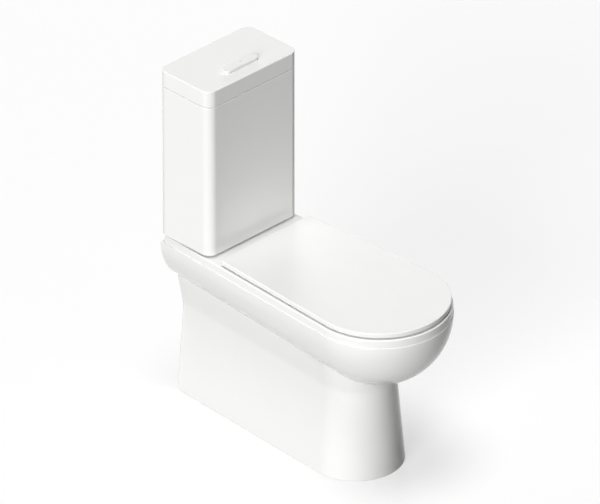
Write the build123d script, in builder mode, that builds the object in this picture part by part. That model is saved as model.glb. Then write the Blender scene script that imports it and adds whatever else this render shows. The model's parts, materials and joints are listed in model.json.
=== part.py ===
from build123d import *
from math import asin, asinh, cos, hypot, pi, radians, sin, sinh, sqrt, tan
import os

os.makedirs("parts", exist_ok=True)

# Overall: the wall is the rear plane, the floor is z = 0, the front is -y
projection = 800.0  # wall to the foremost point of the bowl
wall_y = projection / 2
front_y = -projection / 2
cut_over = 5.0  # how far a cut runs past the face it opens

# Pan, outside
rim_height = 474.0
band_height = 23.0  # upright band around the rim
band_setback = 1.5  # the band stands in from the round underside
deck_step = 13.0  # the deck ends this far in front of the wall
pan_half_width = 148.2  # at the wall
side_flare = radians(3.23)  # each side widens towards the front
rim_round = 3.0
foot_half_width = 92.5
waist_half_width = 71.0
waist_drop = 232.0  # below the rim
waist_blend = 1.2  # how much the waist is filled where the two slopes meet
flare_half_width = 101.0  # where the pedestal has gone into the bowl
flare_drop = 94.0  # below the rim
foot_inset = 142.0  # the foremost point of the foot, behind that of the bowl
pedestal_steps = 14

# Pan, inside
china = 12.0
rim_width = 45.0
rim_lip = 9.0
rim_lip_depth = 46.0
channel_width = 20.0  # the flushing channel under the rim
channel_roof = 14.0
channel_floor = 60.0  # below the rim
bowl_share = 0.4375  # wall to the rear edge of the bowl's opening, as a share of the projection
sump_floor = 100.0
sump_radius = 42.0
sump_length = 94.0
sump_inset = 6.0  # the sump ends this far in front of the opening
# Depth, front, rear, front radius and rear radius, as shares of the way from channel to sump
bowl_shares = (
    (0, 0, 0, 0, 0),
    (0.14, 0.04, 0.15, 0.1, 0.17),
    (0.24, 0.13, 0.23, 0.33, 0.38),
    (0.33, 0.26, 0.31, 0.57, 0.61),
    (0.47, 0.52, 0.46, 0.71, 0.74),
    (0.63, 0.8, 0.7, 0.86, 0.87),
    (0.79, 0.94, 0.88, 0.93, 0.93),
    (1, 1, 1, 1, 1),
)
hollow_drop = 249.0  # ceiling of the hollow under the bowl, below the rim
bowl_back = 30.0  # this far behind the opening the pan is hollow up to the deck

# Waste
trap_bore = 40.0  # half width of the passage
spigot_radius = 51.0
spigot_height = 185.0
spigot_length = 60.0  # clear of the casing, for a pan connector
spigot_setback = 25.0  # from the wall
trap_bend = 55.0
dip_rise = 38.0  # middle of the dip above the sump's floor
dip_start = 60.0  # in front of the opening's rear edge
dip_end = 5.0  # behind it
crest_setback = 225.0
crest_drop = 174.0  # below the rim
fall_setback = 138.0

# Cistern
tank_width = 310.0
tank_depth = 178.0
tank_height = 421.0
tank_corner = 25.0
tank_wall = 10.0
tank_floor = 12.0
tank_gap = 6.0  # between deck and tank
seam_chamfer = 0.8
tank_foot_chamfer = 1.5
lid_height = 46.0
lid_top_wall = 12.0
lid_chamfer = 2.0
lid_lip = 6.0
lid_lip_depth = 8.0
lid_lip_gap = 2.0

# Flush buttons
button_length = 118.0
button_width = 19.5
button_end = 6.8  # radius of the pointed ends
button_split = 7.6  # the parting line lies this far to the right of the middle
button_rise = 7.0
button_gap = 0.4
button_inset = 48.4  # from the cistern's front face
button_skin = 2.0
parting_radius = 60.0  # the parting line is an arc that bulges to the right
parting_lean = radians(7.2)
housing_wall = 1.2
housing_flange = 1.0
housing_flange_rise = 0.8
housing_depth = 18.0
slot_gap = 0.3
snap_depth = 3.0
snap_reach = 2.0
snap_length = 10.0
snap_spacing = 60.0
rod_radius = 2.5
rod_hole_gap = 0.4
button_height = 14.0
housing_floor = 2.0

# Flush valve
valve_inset = 68.0  # from the cistern's front face
outlet_radius = 30.0
outlet_wall = 4.0
outlet_length = 26.0  # below the tank's floor
outlet_gap = 1.0
flange_radius = 40.0
flange_thick = 5.0
washer_thick = 3.0
locknut_flats = 72.0
locknut_thick = 11.0
gasket_radius = 51.0
gasket_recess = 15.0  # the doughnut gasket's seat in the deck
gasket_gap = 0.5
inlet_radius = 34.0
seat_lip = 3.0
tower_radius = 38.0
tower_wall = 3.0
tower_drop = 165.0  # below the ceiling of the cistern's lid
window_width = 26.0
window_height = 62.0
window_count = 4
window_rows = 3
tower_roof = 6.0
tube_radius = 15.0
tube_wall = 2.0
tube_gap = 0.4
tube_dip = 2.0  # below the valve's seat
tube_top_rise = 12.0  # above the collar
collar_radius = 24.0
collar_thick = 3.0
collar_side = 8.0  # the collar ends this far past the tube's axis
seal_radius = 32.0
seal_thick = 4.0
seal_plate_radius = 28.0
seal_plate_thick = 3.0
head_thick = 6.0
head_half_length = 46.0
head_margin = 4.0
head_corner = 8.0
pivot_rise = 11.0
ear_width = 10.0
ear_thick = 3.0
lever_radius = 3.5
lever_pivot_x = 34.0
lever_outer = 10.0
lever_inner = 14.5
lever_width = 32.0
lever_gap = 0.5
pin_radius = 1.5
pin_gap = 0.05

# Flush water duct in the pan
duct_half_width = 40.0
duct_height = 30.0
duct_wall = 10.0
duct_end = 6.0  # behind the inlet

# Coupling of tank to pan
bolt_x = 72.0
bolt_setback = 62.0
bolt_radius = 4.0
bolt_hole_gap = 1.5
bolt_head_radius = 9.0
bolt_head_thick = 4.0
bolt_length = 70.0
bolt_washer_radius = 13.0
bolt_washer_thick = 4.0
plate_washer_thick = 2.0
wing_nut_radius = 8.0
wing_nut_thick = 8.0
wing_span = 34.0
wing_height = 9.0
wing_thick = 3.0
wing_slope = 70  # degrees
cushion_length = 60.0

# Fill valve
fill_inset = 43.0  # from the cistern's left side
fill_setback = 54.0
shank_radius = 10.5
shank_bore = 5.0
shank_length = 62.0  # below the tank's floor
hose_thread = 28.0  # the lowest part, below a groove
shank_groove = 4.0
groove_depth = 1.2
shank_gap = 1.0
shank_flange = 19.0
shank_flange_thick = 4.0
inlet_nut_flats = 30.0
inlet_nut_thick = 8.0
deck_hole_radius = 21.0
column_radius = 12.0
column_drop = 106.0  # below the ceiling of the cistern's lid
cap_radius = 18.0
cap_height = 26.0
cap_chamfer = 2.0
float_radius = 28.0
float_height = 70.0
float_wall = 2.0
float_gap = 0.5
float_space = 26.0  # between a full float and the cap
arm_length = 30.5
arm_width = 9.0
arm_angle = 28.0  # degrees above level when the tank is full
arm_pivot_back = 8.0
link_radius = 1.5
link_inset = 7.0  # from the float's rim

# Seat and lid
seat_setback = 213.8  # wall to the rear edge of the lid
lid_inset = 5.5  # the lid stands in from the rim's outline
seat_lid_lift = 5.3  # between rim and lid
seat_lid_thick = 12.2
seat_lid_panel = 4.0
seat_skirt = 4.0
seat_lid_corner = 10.0
seat_lid_chamfer = 1.5
ring_gap = 2.5  # between skirt and ring
ring_lift = 2.5
ring_thick = 9.0
ring_rear_gap = 16.0
ring_chamfer = 2.5
hole_front = 65.0  # from the front of the pan
hole_front_radius = 117.0
hole_rear_radius = 104.0
hole_rear = 38.0  # in front of the bowl opening's rear edge
hinge_inset = 5.7  # from the rear edge of the lid
hinge_rise = 8.5  # above the rim
hinge_x = 77.5
post_width = 26.0
post_back = 4.0  # behind the hinge's axis
barrel_radius = 4.8
barrel_width = 12.0
barrel_gap = 0.3
hinge_pin_radius = 2.4
plate_length = 34.0
plate_thick = 3.0
notch_gap = 1.5
hinge_bolt_back = 20.0  # in front of the hinge axis
hinge_bolt_radius = 3.0
hinge_bolt_length = 40.0
hinge_bolt_head = 6.0
hinge_bolt_head_thick = 2.5
hinge_nut_thick = 8.0
seat_hole_radius = 7.0
sleeve_gap = 0.3
buffer_length = 26.0
buffer_width = 12.0
buffer_inset = 28.0  # from the rim's outline
buffer_gap = 0.2
buffer_angle = 28.0  # degrees from the front
buffer_rear = 10.0  # behind the bowl opening's rear edge
lid_buffer_radius = 7.0
lid_buffer_inset = 38.0

# Worked out from the sizes above
band_base = rim_height - band_height
waist_height = rim_height - waist_drop
flare_height = rim_height - flare_drop
bowl_rear_y = wall_y - projection * bowl_share
sump_rear_y = bowl_rear_y - sump_inset
bowl_back_y = bowl_rear_y + bowl_back
flare_run = tan(side_flare)
bowl_radius = (pan_half_width + projection * flare_run) * cos(side_flare) / (1 + sin(side_flare))
bowl_centre_y = front_y + bowl_radius
foot_reach = projection - foot_inset
foot_radius = (foot_half_width + foot_reach * flare_run) * cos(side_flare) / (1 + sin(side_flare))
pedestal_centre_y = wall_y - foot_reach + foot_radius
opening_rear_radius = (
    pan_half_width * cos(side_flare) - rim_width + (wall_y - bowl_rear_y) * sin(side_flare)
) / (1 - sin(side_flare))
tank_y = wall_y - tank_depth / 2
tank_front_y = wall_y - tank_depth
tank_base = rim_height + tank_gap
tank_top = tank_base + tank_height
tank_inside = tank_base + tank_floor
lid_top = tank_top + lid_height
lid_ceiling = lid_top - lid_top_wall
valve_y = tank_front_y + valve_inset
button_y = tank_front_y + button_inset
lid_rear_y = wall_y - seat_setback
hinge_y = lid_rear_y - hinge_inset
hinge_z = rim_height + hinge_rise
bolt_y = wall_y - bolt_setback
fill_x = fill_inset - tank_width / 2
fill_y = wall_y - fill_setback
bolt_places = [(-bolt_x, bolt_y), (bolt_x, bolt_y)]
seat_bolt_places = [(-hinge_x, hinge_y - hinge_bolt_back), (hinge_x, hinge_y - hinge_bolt_back)]
rod_x = lever_pivot_x + lever_outer
rod_places = [(-rod_x, button_y), (rod_x, button_y)]
button_top = lid_top + button_rise
tower_top = lid_ceiling - tower_drop
pivot_z = tower_top + head_thick + pivot_rise
collar_base = pivot_z + lever_radius + lever_gap
lever_low_y = button_y - 2 * lever_radius
lever_high_y = lever_low_y + lever_width
head_low_y = lever_low_y - lever_gap - ear_thick - head_margin
head_high_y = lever_high_y + lever_gap + ear_thick + head_margin


def front_radius(half_width, centre_y):
    """Radius of the round front that the widening sides touch."""
    return (half_width + (wall_y - centre_y) * flare_run) * cos(side_flare)


def plan_outline(half_width, centre_y, rear_y, mode=Mode.ADD):
    """Straight rear edge, sides that widen towards the front, and a round front."""
    radius = front_radius(half_width, centre_y)
    touch_x, touch_y = radius * cos(side_flare), centre_y + radius * sin(side_flare)
    rear_x = half_width + (wall_y - rear_y) * flare_run
    with BuildLine() as edge:
        Line((-rear_x, rear_y), (rear_x, rear_y))
        Line((rear_x, rear_y), (touch_x, touch_y))
        ThreePointArc((touch_x, touch_y), (0, centre_y - radius), (-touch_x, touch_y))
        Line((-touch_x, touch_y), (-rear_x, rear_y))
    make_face(edge.edges(), mode=mode)


def half_outline(half_width, centre_y, rear_y):
    """The right half of the plan outline, closed along the middle."""
    radius = front_radius(half_width, centre_y)
    touch_x, touch_y = radius * cos(side_flare), centre_y + radius * sin(side_flare)
    rear_x = half_width + (wall_y - rear_y) * flare_run
    middle = (side_flare - pi / 2) / 2
    with BuildLine() as edge:
        Line((0, rear_y), (rear_x, rear_y))
        Line((rear_x, rear_y), (touch_x, touch_y))
        ThreePointArc(
            (touch_x, touch_y),
            (radius * cos(middle), centre_y + radius * sin(middle)),
            (0, centre_y - radius),
        )
        Line((0, centre_y - radius), (0, rear_y))
    make_face(edge.edges())


def oval_outline(front, rear, front_round, rear_round, mode=Mode.ADD):
    """Two end circles joined by the straight lines that touch both."""
    front_centre, rear_centre = front + front_round, rear - rear_round
    lean = asin((front_round - rear_round) / (rear_centre - front_centre))
    front_x, front_touch = front_round * cos(lean), front_centre + front_round * sin(lean)
    rear_x, rear_touch = rear_round * cos(lean), rear_centre + rear_round * sin(lean)
    with BuildLine() as edge:
        ThreePointArc((front_x, front_touch), (0, front), (-front_x, front_touch))
        Line((-front_x, front_touch), (-rear_x, rear_touch))
        ThreePointArc((-rear_x, rear_touch), (0, rear), (rear_x, rear_touch))
        Line((rear_x, rear_touch), (front_x, front_touch))
    make_face(edge.edges(), mode=mode)


def rim_oval(inset, mode=Mode.ADD):
    """The bowl's opening at a given distance in from the rim's outline."""
    shift = rim_width - inset
    oval_outline(
        front_y + inset,
        bowl_rear_y + shift,
        bowl_radius - inset,
        opening_rear_radius + shift,
        mode=mode,
    )


def pedestal_sections():
    """Height and half width of each level section: foot slope and flare, blended at the waist.

    The blend is a hyperbola, and its sections lie closer where it turns.
    """
    taper = (foot_half_width - waist_half_width) / waist_height
    flare = (flare_half_width - waist_half_width) / (flare_height - waist_height)
    slope = (taper + flare) / 2
    start = asinh(-slope * waist_height / waist_blend)
    end = asinh(slope * (flare_height - waist_height) / waist_blend)
    for step in range(pedestal_steps + 1):
        rise = waist_blend * sinh(start + (end - start) * step / pedestal_steps) / slope
        middle = waist_half_width + (flare - taper) * rise / 2
        yield waist_height + rise, middle + hypot(slope * rise, waist_blend)


def bowl_loft(skin):
    """The inside of the bowl from the channel down to the sump, grown by a wall."""
    top = rim_height - channel_floor
    inset = rim_width - channel_width
    ends = (
        (top, sump_floor - skin),
        (front_y + inset, sump_rear_y - sump_length),
        (bowl_rear_y + channel_width, sump_rear_y),
        (bowl_radius - inset, sump_radius),
        (opening_rear_radius + channel_width, sump_radius),
    )
    with BuildPart() as bowl:
        for shares in bowl_shares:
            height, front, rear, front_round, rear_round = (
                first + (last - first) * share for (first, last), share in zip(ends, shares)
            )
            with BuildSketch(Plane.XY.offset(height)):
                oval_outline(front - skin, rear + skin, front_round + skin, rear_round + skin)
        loft(ruled=True)
    return bowl.part


def waste_way(half_width, radius, reach):
    """The waste's way over the trap: flat-sided, then round through the spigot.

    It is as wide as it is high. The round stretch goes past the spigot's end by a reach.
    """
    dip_height = sump_floor + dip_rise
    spigot_end_y = wall_y - spigot_setback
    end_wall = trap_bore + china - half_width
    places = (
        (bowl_rear_y - dip_start, dip_height),
        (bowl_rear_y + dip_end, dip_height),
        (wall_y - crest_setback, rim_height - crest_drop),
        (wall_y - fall_setback, spigot_height),
        (spigot_end_y - spigot_length - end_wall, spigot_height),
    )
    with BuildPart() as way:
        with BuildSketch(Plane.YZ):
            with BuildLine():
                FilletPolyline(*places, radius=trap_bend)
            trace(line_width=2 * half_width)
        extrude(amount=half_width, both=True)
        with BuildSketch(Plane.XZ.offset(-spigot_end_y - reach)):
            with Locations((0, spigot_height)):
                Circle(radius)
        extrude(amount=spigot_length + end_wall + reach)
    return way.part


def box_between(low, high, mode=Mode.ADD):
    """A block between two corners."""
    middle = tuple((a + b) / 2 for a, b in zip(low, high))
    with Locations(middle):
        Box(*(b - a for a, b in zip(low, high)), mode=mode)


def washer(places, base, outer, inner, thick):
    """An upright ring: outer and inner radius, standing on base."""
    with BuildSketch(Plane.XY.offset(base)) as ring:
        with Locations(*places):
            Circle(outer)
            Circle(inner, mode=Mode.SUBTRACT)
    extrude(ring.sketch, amount=thick)


def bore(places, radius, low, high):
    """Upright round holes between two heights."""
    with BuildSketch(Plane.XY.offset(low)) as holes:
        with Locations(*places):
            Circle(radius)
    extrude(holes.sketch, amount=high - low, mode=Mode.SUBTRACT)


def hex_nut(places, base, flats, inner, thick):
    """Six-sided nuts of a given width across flats."""
    with BuildSketch(Plane.XY.offset(base)) as nut:
        with Locations(*places):
            RegularPolygon(flats / sqrt(3), 6)
            Circle(inner, mode=Mode.SUBTRACT)
    extrude(nut.sketch, amount=thick)


def tank_block(inset, base, height, mode=Mode.ADD):
    """A block with the cistern's plan, drawn in by a wall."""
    with BuildSketch(Plane.XY.offset(base)) as plan:
        with Locations((0, tank_y)):
            RectangleRounded(
                tank_width - 2 * inset, tank_depth - 2 * inset, max(tank_corner - inset, lid_lip)
            )
    extrude(plan.sketch, amount=height, mode=mode)


def button_outline(grow):
    """The long oval of the flush buttons, pointed at both ends, grown all round."""
    end_x, end_y, side_y = button_length / 2 - button_end, button_end + grow, button_width / 2 + grow
    with BuildLine() as edge:
        ThreePointArc((-end_x, button_y + end_y), (0, button_y + side_y), (end_x, button_y + end_y))
        ThreePointArc(
            (end_x, button_y + end_y),
            (end_x + end_y, button_y),
            (end_x, button_y - end_y),
        )
        ThreePointArc((end_x, button_y - end_y), (0, button_y - side_y), (-end_x, button_y - end_y))
        ThreePointArc(
            (-end_x, button_y - end_y),
            (-end_x - end_y, button_y),
            (-end_x, button_y + end_y),
        )
    make_face(edge.edges())


def finish(piece, name):
    """Label a piece and write it to its own file."""
    piece.part.label = name
    export_step(piece.part, f"parts/{name}.step")


# Duct, trap and bowl stand in the pan's hollow as walls of china
duct_top = band_base
duct_rear_y = valve_y + inlet_radius + duct_end + duct_wall

hollow_sections = (
    (0, foot_half_width),
    (waist_height, waist_half_width),
    (flare_height, flare_half_width),
)

with BuildPart() as pan_hollow:
    for height, half_width in hollow_sections:
        with BuildSketch(Plane.XY.offset(height)):
            plan_outline(half_width - china, pedestal_centre_y, wall_y + cut_over)
    loft(ruled=True)
    box_between(
        (-bowl_radius, front_y, rim_height - hollow_drop),
        (bowl_radius, bowl_back_y, rim_height),
        mode=Mode.SUBTRACT,
    )
    with BuildSketch(Plane.XY.offset(band_base)):
        half_outline(pan_half_width - china, bowl_centre_y, wall_y + cut_over)
        with Locations((0, bowl_back_y)):
            Rectangle(
                2 * bowl_radius,
                2 * projection,
                align=(Align.CENTER, Align.MAX),
                mode=Mode.SUBTRACT,
            )
    revolve(axis=Axis((0, 0, band_base), (0, 1, 0)), revolution_arc=180)

with BuildPart() as pan_cavity:
    add(pan_hollow.part)
    add(bowl_loft(china), mode=Mode.SUBTRACT)
    add(waste_way(trap_bore + china, spigot_radius, 0), mode=Mode.SUBTRACT)
    box_between(
        (-duct_half_width - duct_wall, 0, duct_top - duct_height - duct_wall),
        (duct_half_width + duct_wall, duct_rear_y, rim_height),
        mode=Mode.SUBTRACT,
    )

with BuildPart() as pan:
    for height, half_width in pedestal_sections():
        with BuildSketch(Plane.XY.offset(height)):
            plan_outline(half_width, pedestal_centre_y, wall_y)
    loft(ruled=True)
    with BuildSketch(Plane.XY.offset(band_base)):
        half_outline(pan_half_width, bowl_centre_y, wall_y)
    revolve(axis=Axis((0, 0, band_base), (0, 1, 0)), revolution_arc=180)
    with BuildSketch(Plane.XY.offset(band_base)):
        plan_outline(pan_half_width - band_setback, bowl_centre_y, wall_y - deck_step)
    extrude(amount=band_height)
    fillet(pan.faces().sort_by(Axis.Z)[-1].edges(), rim_round)
    add(pan_cavity.part, mode=Mode.SUBTRACT)
    # Opening, flushing channel and the lip that hangs between them
    with BuildSketch(Plane.XY.offset(rim_height - rim_lip_depth)):
        rim_oval(rim_width)
    extrude(amount=rim_lip_depth + cut_over, mode=Mode.SUBTRACT)
    with BuildSketch(Plane.XY.offset(rim_height - channel_floor)):
        rim_oval(rim_width - channel_width)
    extrude(amount=channel_floor - rim_lip_depth, mode=Mode.SUBTRACT)
    with BuildSketch(Plane.XY.offset(rim_height - rim_lip_depth)):
        rim_oval(rim_width - channel_width)
        rim_oval(rim_width - rim_lip, mode=Mode.SUBTRACT)
    extrude(amount=rim_lip_depth - channel_roof, mode=Mode.SUBTRACT)
    add(bowl_loft(0), mode=Mode.SUBTRACT)
    add(waste_way(trap_bore, spigot_radius - china, cut_over), mode=Mode.SUBTRACT)
    # Flush water comes down through the deck and runs forward under it
    box_between(
        (-duct_half_width, bowl_rear_y, duct_top - duct_height),
        (duct_half_width, duct_rear_y - duct_wall, duct_top),
        mode=Mode.SUBTRACT,
    )
    bore([(0, valve_y)], inlet_radius, duct_top - duct_height / 2, rim_height + cut_over)
    bore(
        [(0, valve_y)],
        gasket_radius + gasket_gap,
        rim_height - gasket_recess,
        rim_height + cut_over,
    )
    # Holes for the coupling bolts, the inlet and the seat
    deck_under = band_base - cut_over
    bore(bolt_places, bolt_radius + bolt_hole_gap, deck_under, rim_height + cut_over)
    bore([(fill_x, fill_y)], deck_hole_radius, deck_under, rim_height + cut_over)
    bore(seat_bolt_places, seat_hole_radius, deck_under, rim_height + cut_over)
finish(pan, "pan")

with BuildPart() as cistern_tank:
    tank_block(0, tank_base, tank_height)
    chamfer(cistern_tank.faces().sort_by(Axis.Z)[-1].edges(), seam_chamfer)
    chamfer(cistern_tank.faces().sort_by(Axis.Z)[0].edges(), tank_foot_chamfer)
    tank_block(tank_wall, tank_inside, tank_height, mode=Mode.SUBTRACT)
    floor_low, floor_high = tank_base - cut_over, tank_inside + cut_over
    bore([(0, valve_y)], outlet_radius + outlet_gap, floor_low, floor_high)
    bore(bolt_places, bolt_radius + bolt_hole_gap, floor_low, floor_high)
    bore([(fill_x, fill_y)], shank_radius + shank_gap, floor_low, floor_high)
finish(cistern_tank, "cistern_tank")

# A thin housing lines the slot in the lid, and hooks hold it from below
lid_skirt = tank_wall + lid_lip_gap + lid_lip
housing_grow = button_gap + housing_wall
with BuildPart() as cistern_lid:
    tank_block(0, tank_top, lid_height)
    chamfer(cistern_lid.faces().sort_by(Axis.Z)[0].edges(), seam_chamfer)
    chamfer(cistern_lid.faces().sort_by(Axis.Z)[-1].edges(), lid_chamfer)
    tank_block(tank_wall + lid_lip_gap, tank_top - lid_lip_depth, lid_lip_depth + lid_lip)
    tank_block(
        lid_skirt,
        tank_top - lid_lip_depth,
        lid_lip_depth + lid_height - lid_top_wall,
        mode=Mode.SUBTRACT,
    )
    with BuildSketch(Plane.XY.offset(lid_ceiling - cut_over)):
        button_outline(housing_grow + slot_gap)
    extrude(amount=lid_top_wall + 2 * cut_over, mode=Mode.SUBTRACT)
finish(cistern_lid, "cistern_lid")

with BuildPart() as button_housing:
    with BuildSketch(Plane.XY.offset(lid_top)):
        button_outline(housing_grow + housing_flange)
    extrude(amount=housing_flange_rise)
    with BuildSketch(Plane.XY.offset(lid_top - housing_depth)):
        button_outline(housing_grow)
    extrude(amount=housing_depth)
    with BuildSketch(Plane.XY.offset(lid_top - housing_depth + housing_floor)):
        button_outline(button_gap)
    extrude(amount=housing_depth + cut_over, mode=Mode.SUBTRACT)
    snap_top = lid_ceiling - slot_gap
    snap_out = button_width / 2 + housing_grow + snap_reach
    for side_x in (-snap_spacing / 2, snap_spacing / 2):
        for side in (-1, 1):
            near, far = sorted((side * button_width / 2, side * snap_out))
            box_between(
                (side_x - snap_length / 2, button_y + near, snap_top - snap_depth),
                (side_x + snap_length / 2, button_y + far, snap_top),
            )
    bore(
        rod_places,
        rod_radius + rod_hole_gap,
        lid_top - housing_depth - cut_over,
        lid_top - housing_depth + housing_floor + cut_over,
    )
finish(button_housing, "button_housing")


def flush_button(way, cut_mode):
    """One hollow button: the part of the long oval on one side of the parting line."""
    centre_x = button_split - parting_radius * cos(parting_lean)
    centre_y = button_y + parting_radius * sin(parting_lean)
    with BuildPart() as button:
        for inset, height in ((0, button_height), (button_skin, button_height - button_skin)):
            with BuildSketch(Plane.XY.offset(button_top - button_height)) as plan:
                button_outline(-inset)
                with Locations((centre_x, centre_y)):
                    Circle(parting_radius + way * (button_gap / 2 + inset), mode=cut_mode)
            extrude(plan.sketch, amount=height, mode=Mode.SUBTRACT if inset else Mode.ADD)
    return button


def push_rod(place):
    """Rod under a button, with a round tip just above its lever."""
    with BuildPart() as rod:
        low = pivot_z + lever_radius + lever_gap + rod_radius
        with BuildSketch(Plane.XY.offset(low)):
            with Locations(place):
                Circle(rod_radius)
        extrude(amount=button_top - button_skin - low)
        with Locations((*place, low)):
            Sphere(rod_radius)
    return rod


full_flush_button = flush_button(-1, Mode.INTERSECT)
half_flush_button = flush_button(1, Mode.SUBTRACT)
finish(full_flush_button, "full_flush_button")
finish(half_flush_button, "half_flush_button")
finish(push_rod(rod_places[0]), "full_push_rod")
finish(push_rod(rod_places[1]), "half_push_rod")

# Flush valve, from the deck up
valve_place = [(0, valve_y)]
flange_base = tank_inside + washer_thick
flange_top = flange_base + flange_thick
seat_top = flange_top + seat_lip

with BuildPart() as flush_valve_base:
    outlet_bottom = tank_base - outlet_length
    washer(valve_place, outlet_bottom, outlet_radius, outlet_radius - outlet_wall,
           flange_base - outlet_bottom)
    washer(valve_place, flange_base, flange_radius, outlet_radius - outlet_wall, flange_thick)
    washer(valve_place, flange_top, outlet_radius, outlet_radius - outlet_wall, seat_lip)
finish(flush_valve_base, "flush_valve_base")

with BuildPart() as base_washer:
    washer(valve_place, tank_inside, flange_radius, outlet_radius, washer_thick)
finish(base_washer, "base_washer")

with BuildPart() as valve_locknut:
    hex_nut(valve_place, tank_base - locknut_thick, locknut_flats, outlet_radius, locknut_thick)
finish(valve_locknut, "valve_locknut")

# The doughnut gasket fills the space around and under the locknut
with BuildPart() as tank_gasket:
    nut_room = locknut_flats / sqrt(3) + gasket_gap
    gasket_base = rim_height - gasket_recess
    washer(valve_place, gasket_base, gasket_radius, nut_room, tank_base - gasket_base)
    washer(valve_place, gasket_base, nut_room, outlet_radius + outlet_gap,
           tank_base - locknut_thick - gasket_base)
finish(tank_gasket, "tank_gasket")

with BuildPart() as valve_tower:
    tower_height = tower_top - flange_top
    washer(valve_place, flange_top, tower_radius, tower_radius - tower_wall, tower_height)
    washer(valve_place, tower_top - tower_roof, tower_radius, tube_radius + tube_gap, tower_roof)
    row_pitch = (tower_height - tower_roof) / window_rows
    for row in range(window_rows):
        middle = flange_top + row_pitch * (row + 1 / 2)
        with Locations((0, valve_y, middle)):
            with PolarLocations(tower_radius, window_count):
                Box(tower_radius, window_width, window_height, mode=Mode.SUBTRACT)
finish(valve_tower, "valve_tower")

with BuildPart() as tower_head:
    with BuildSketch(Plane.XY.offset(tower_top)):
        with Locations((0, (head_low_y + head_high_y) / 2)):
            RectangleRounded(2 * head_half_length, head_high_y - head_low_y, head_corner)
        with Locations(*valve_place):
            Circle(tube_radius + tube_gap, mode=Mode.SUBTRACT)
    extrude(amount=head_thick)
    for side in (-1, 1):
        for ear_y in (lever_low_y - lever_gap - ear_thick, lever_high_y + lever_gap):
            x = side * lever_pivot_x
            box_between(
                (x - ear_width / 2, ear_y, tower_top + head_thick),
                (x + ear_width / 2, ear_y + ear_thick, pivot_z),
            )
            with BuildSketch(Plane.XZ.offset(-ear_y)) as ear:
                with Locations((x, pivot_z)):
                    Circle(ear_width / 2)
            extrude(ear.sketch, amount=-ear_thick)
    with BuildSketch(Plane.XZ.offset(-head_low_y + cut_over)) as pin_holes:
        with Locations((-lever_pivot_x, pivot_z), (lever_pivot_x, pivot_z)):
            Circle(pin_radius + pin_gap)
    extrude(amount=-2 * projection, mode=Mode.SUBTRACT)
finish(tower_head, "tower_head")


def rocker(outer, inner):
    """Flush lever: a rounded bar with its pivot hole, outer and inner end along x."""
    with BuildPart() as bar:
        with BuildSketch(Plane.XZ.offset(-lever_low_y)):
            with Locations(((outer + inner) / 2, pivot_z)):
                SlotCenterToCenter(abs(outer - inner), 2 * lever_radius)
            pivot_x = lever_pivot_x if outer > 0 else -lever_pivot_x
            with Locations((pivot_x, pivot_z)):
                Circle(pin_radius + pin_gap, mode=Mode.SUBTRACT)
        extrude(amount=-lever_width)
    return bar


finish(rocker(-rod_x, lever_inner - lever_pivot_x), "full_flush_lever")
finish(rocker(rod_x, lever_pivot_x - lever_inner), "half_flush_lever")

with BuildPart() as lever_pins:
    pin_low_y = lever_low_y - lever_gap - ear_thick
    with BuildSketch(Plane.XZ.offset(-pin_low_y)):
        with Locations((-lever_pivot_x, pivot_z), (lever_pivot_x, pivot_z)):
            Circle(pin_radius)
    extrude(amount=-(lever_width + 2 * lever_gap + 2 * ear_thick))
finish(lever_pins, "lever_pins")

with BuildPart() as lift_tube:
    tube_bottom = seat_top - tube_dip
    tube_top = collar_base + collar_thick + tube_top_rise
    washer(valve_place, tube_bottom, tube_radius, tube_radius - tube_wall, tube_top - tube_bottom)
    washer(valve_place, seat_top + seal_thick, seal_plate_radius, tube_radius - tube_wall,
           seal_plate_thick)
    with BuildSketch(Plane.XY.offset(collar_base)):
        with Locations(*valve_place):
            Circle(collar_radius)
            Circle(tube_radius - tube_wall, mode=Mode.SUBTRACT)
        with Locations((collar_side, valve_y)):
            Rectangle(
                2 * collar_radius,
                2 * collar_radius,
                align=(Align.MIN, Align.CENTER),
                mode=Mode.SUBTRACT,
            )
    extrude(amount=collar_thick)
finish(lift_tube, "lift_tube")

with BuildPart() as valve_seal:
    washer(valve_place, seat_top, seal_radius, tube_radius, seal_thick)
finish(valve_seal, "valve_seal")

# Coupling of tank to pan
with BuildPart() as coupling_bolts:
    head_base = tank_inside + bolt_washer_thick
    for place in bolt_places:
        with BuildSketch(Plane.XY.offset(head_base - bolt_length)) as shank:
            with Locations(place):
                Circle(bolt_radius)
        extrude(shank.sketch, amount=bolt_length)
        with BuildSketch(Plane.XY.offset(head_base)) as head:
            with Locations(place):
                Circle(bolt_head_radius)
        extrude(head.sketch, amount=bolt_head_thick)
finish(coupling_bolts, "coupling_bolts")

with BuildPart() as bolt_washers:
    washer(bolt_places, tank_inside, bolt_washer_radius, bolt_radius, bolt_washer_thick)
finish(bolt_washers, "bolt_washers")

with BuildPart() as plate_washers:
    washer(bolt_places, band_base - plate_washer_thick, bolt_washer_radius, bolt_radius,
           plate_washer_thick)
finish(plate_washers, "plate_washers")

with BuildPart() as wing_nuts:
    wing_top = band_base - plate_washer_thick
    for place in bolt_places:
        with BuildSketch(Plane.XY.offset(wing_top - wing_nut_thick)) as hub:
            with Locations(place):
                Circle(wing_nut_radius)
        extrude(hub.sketch, amount=wing_nut_thick)
        with BuildSketch(Plane.YZ.offset(place[0] - wing_thick / 2)) as wings:
            with Locations((place[1], wing_top - wing_nut_thick)):
                Trapezoid(wing_span, wing_height, wing_slope, align=(Align.CENTER, Align.CENTER))
        extrude(wings.sketch, amount=wing_thick)
        with Locations((*place, wing_top)):
            Cylinder(bolt_radius, bolt_length, mode=Mode.SUBTRACT)
finish(wing_nuts, "wing_nuts")

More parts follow.
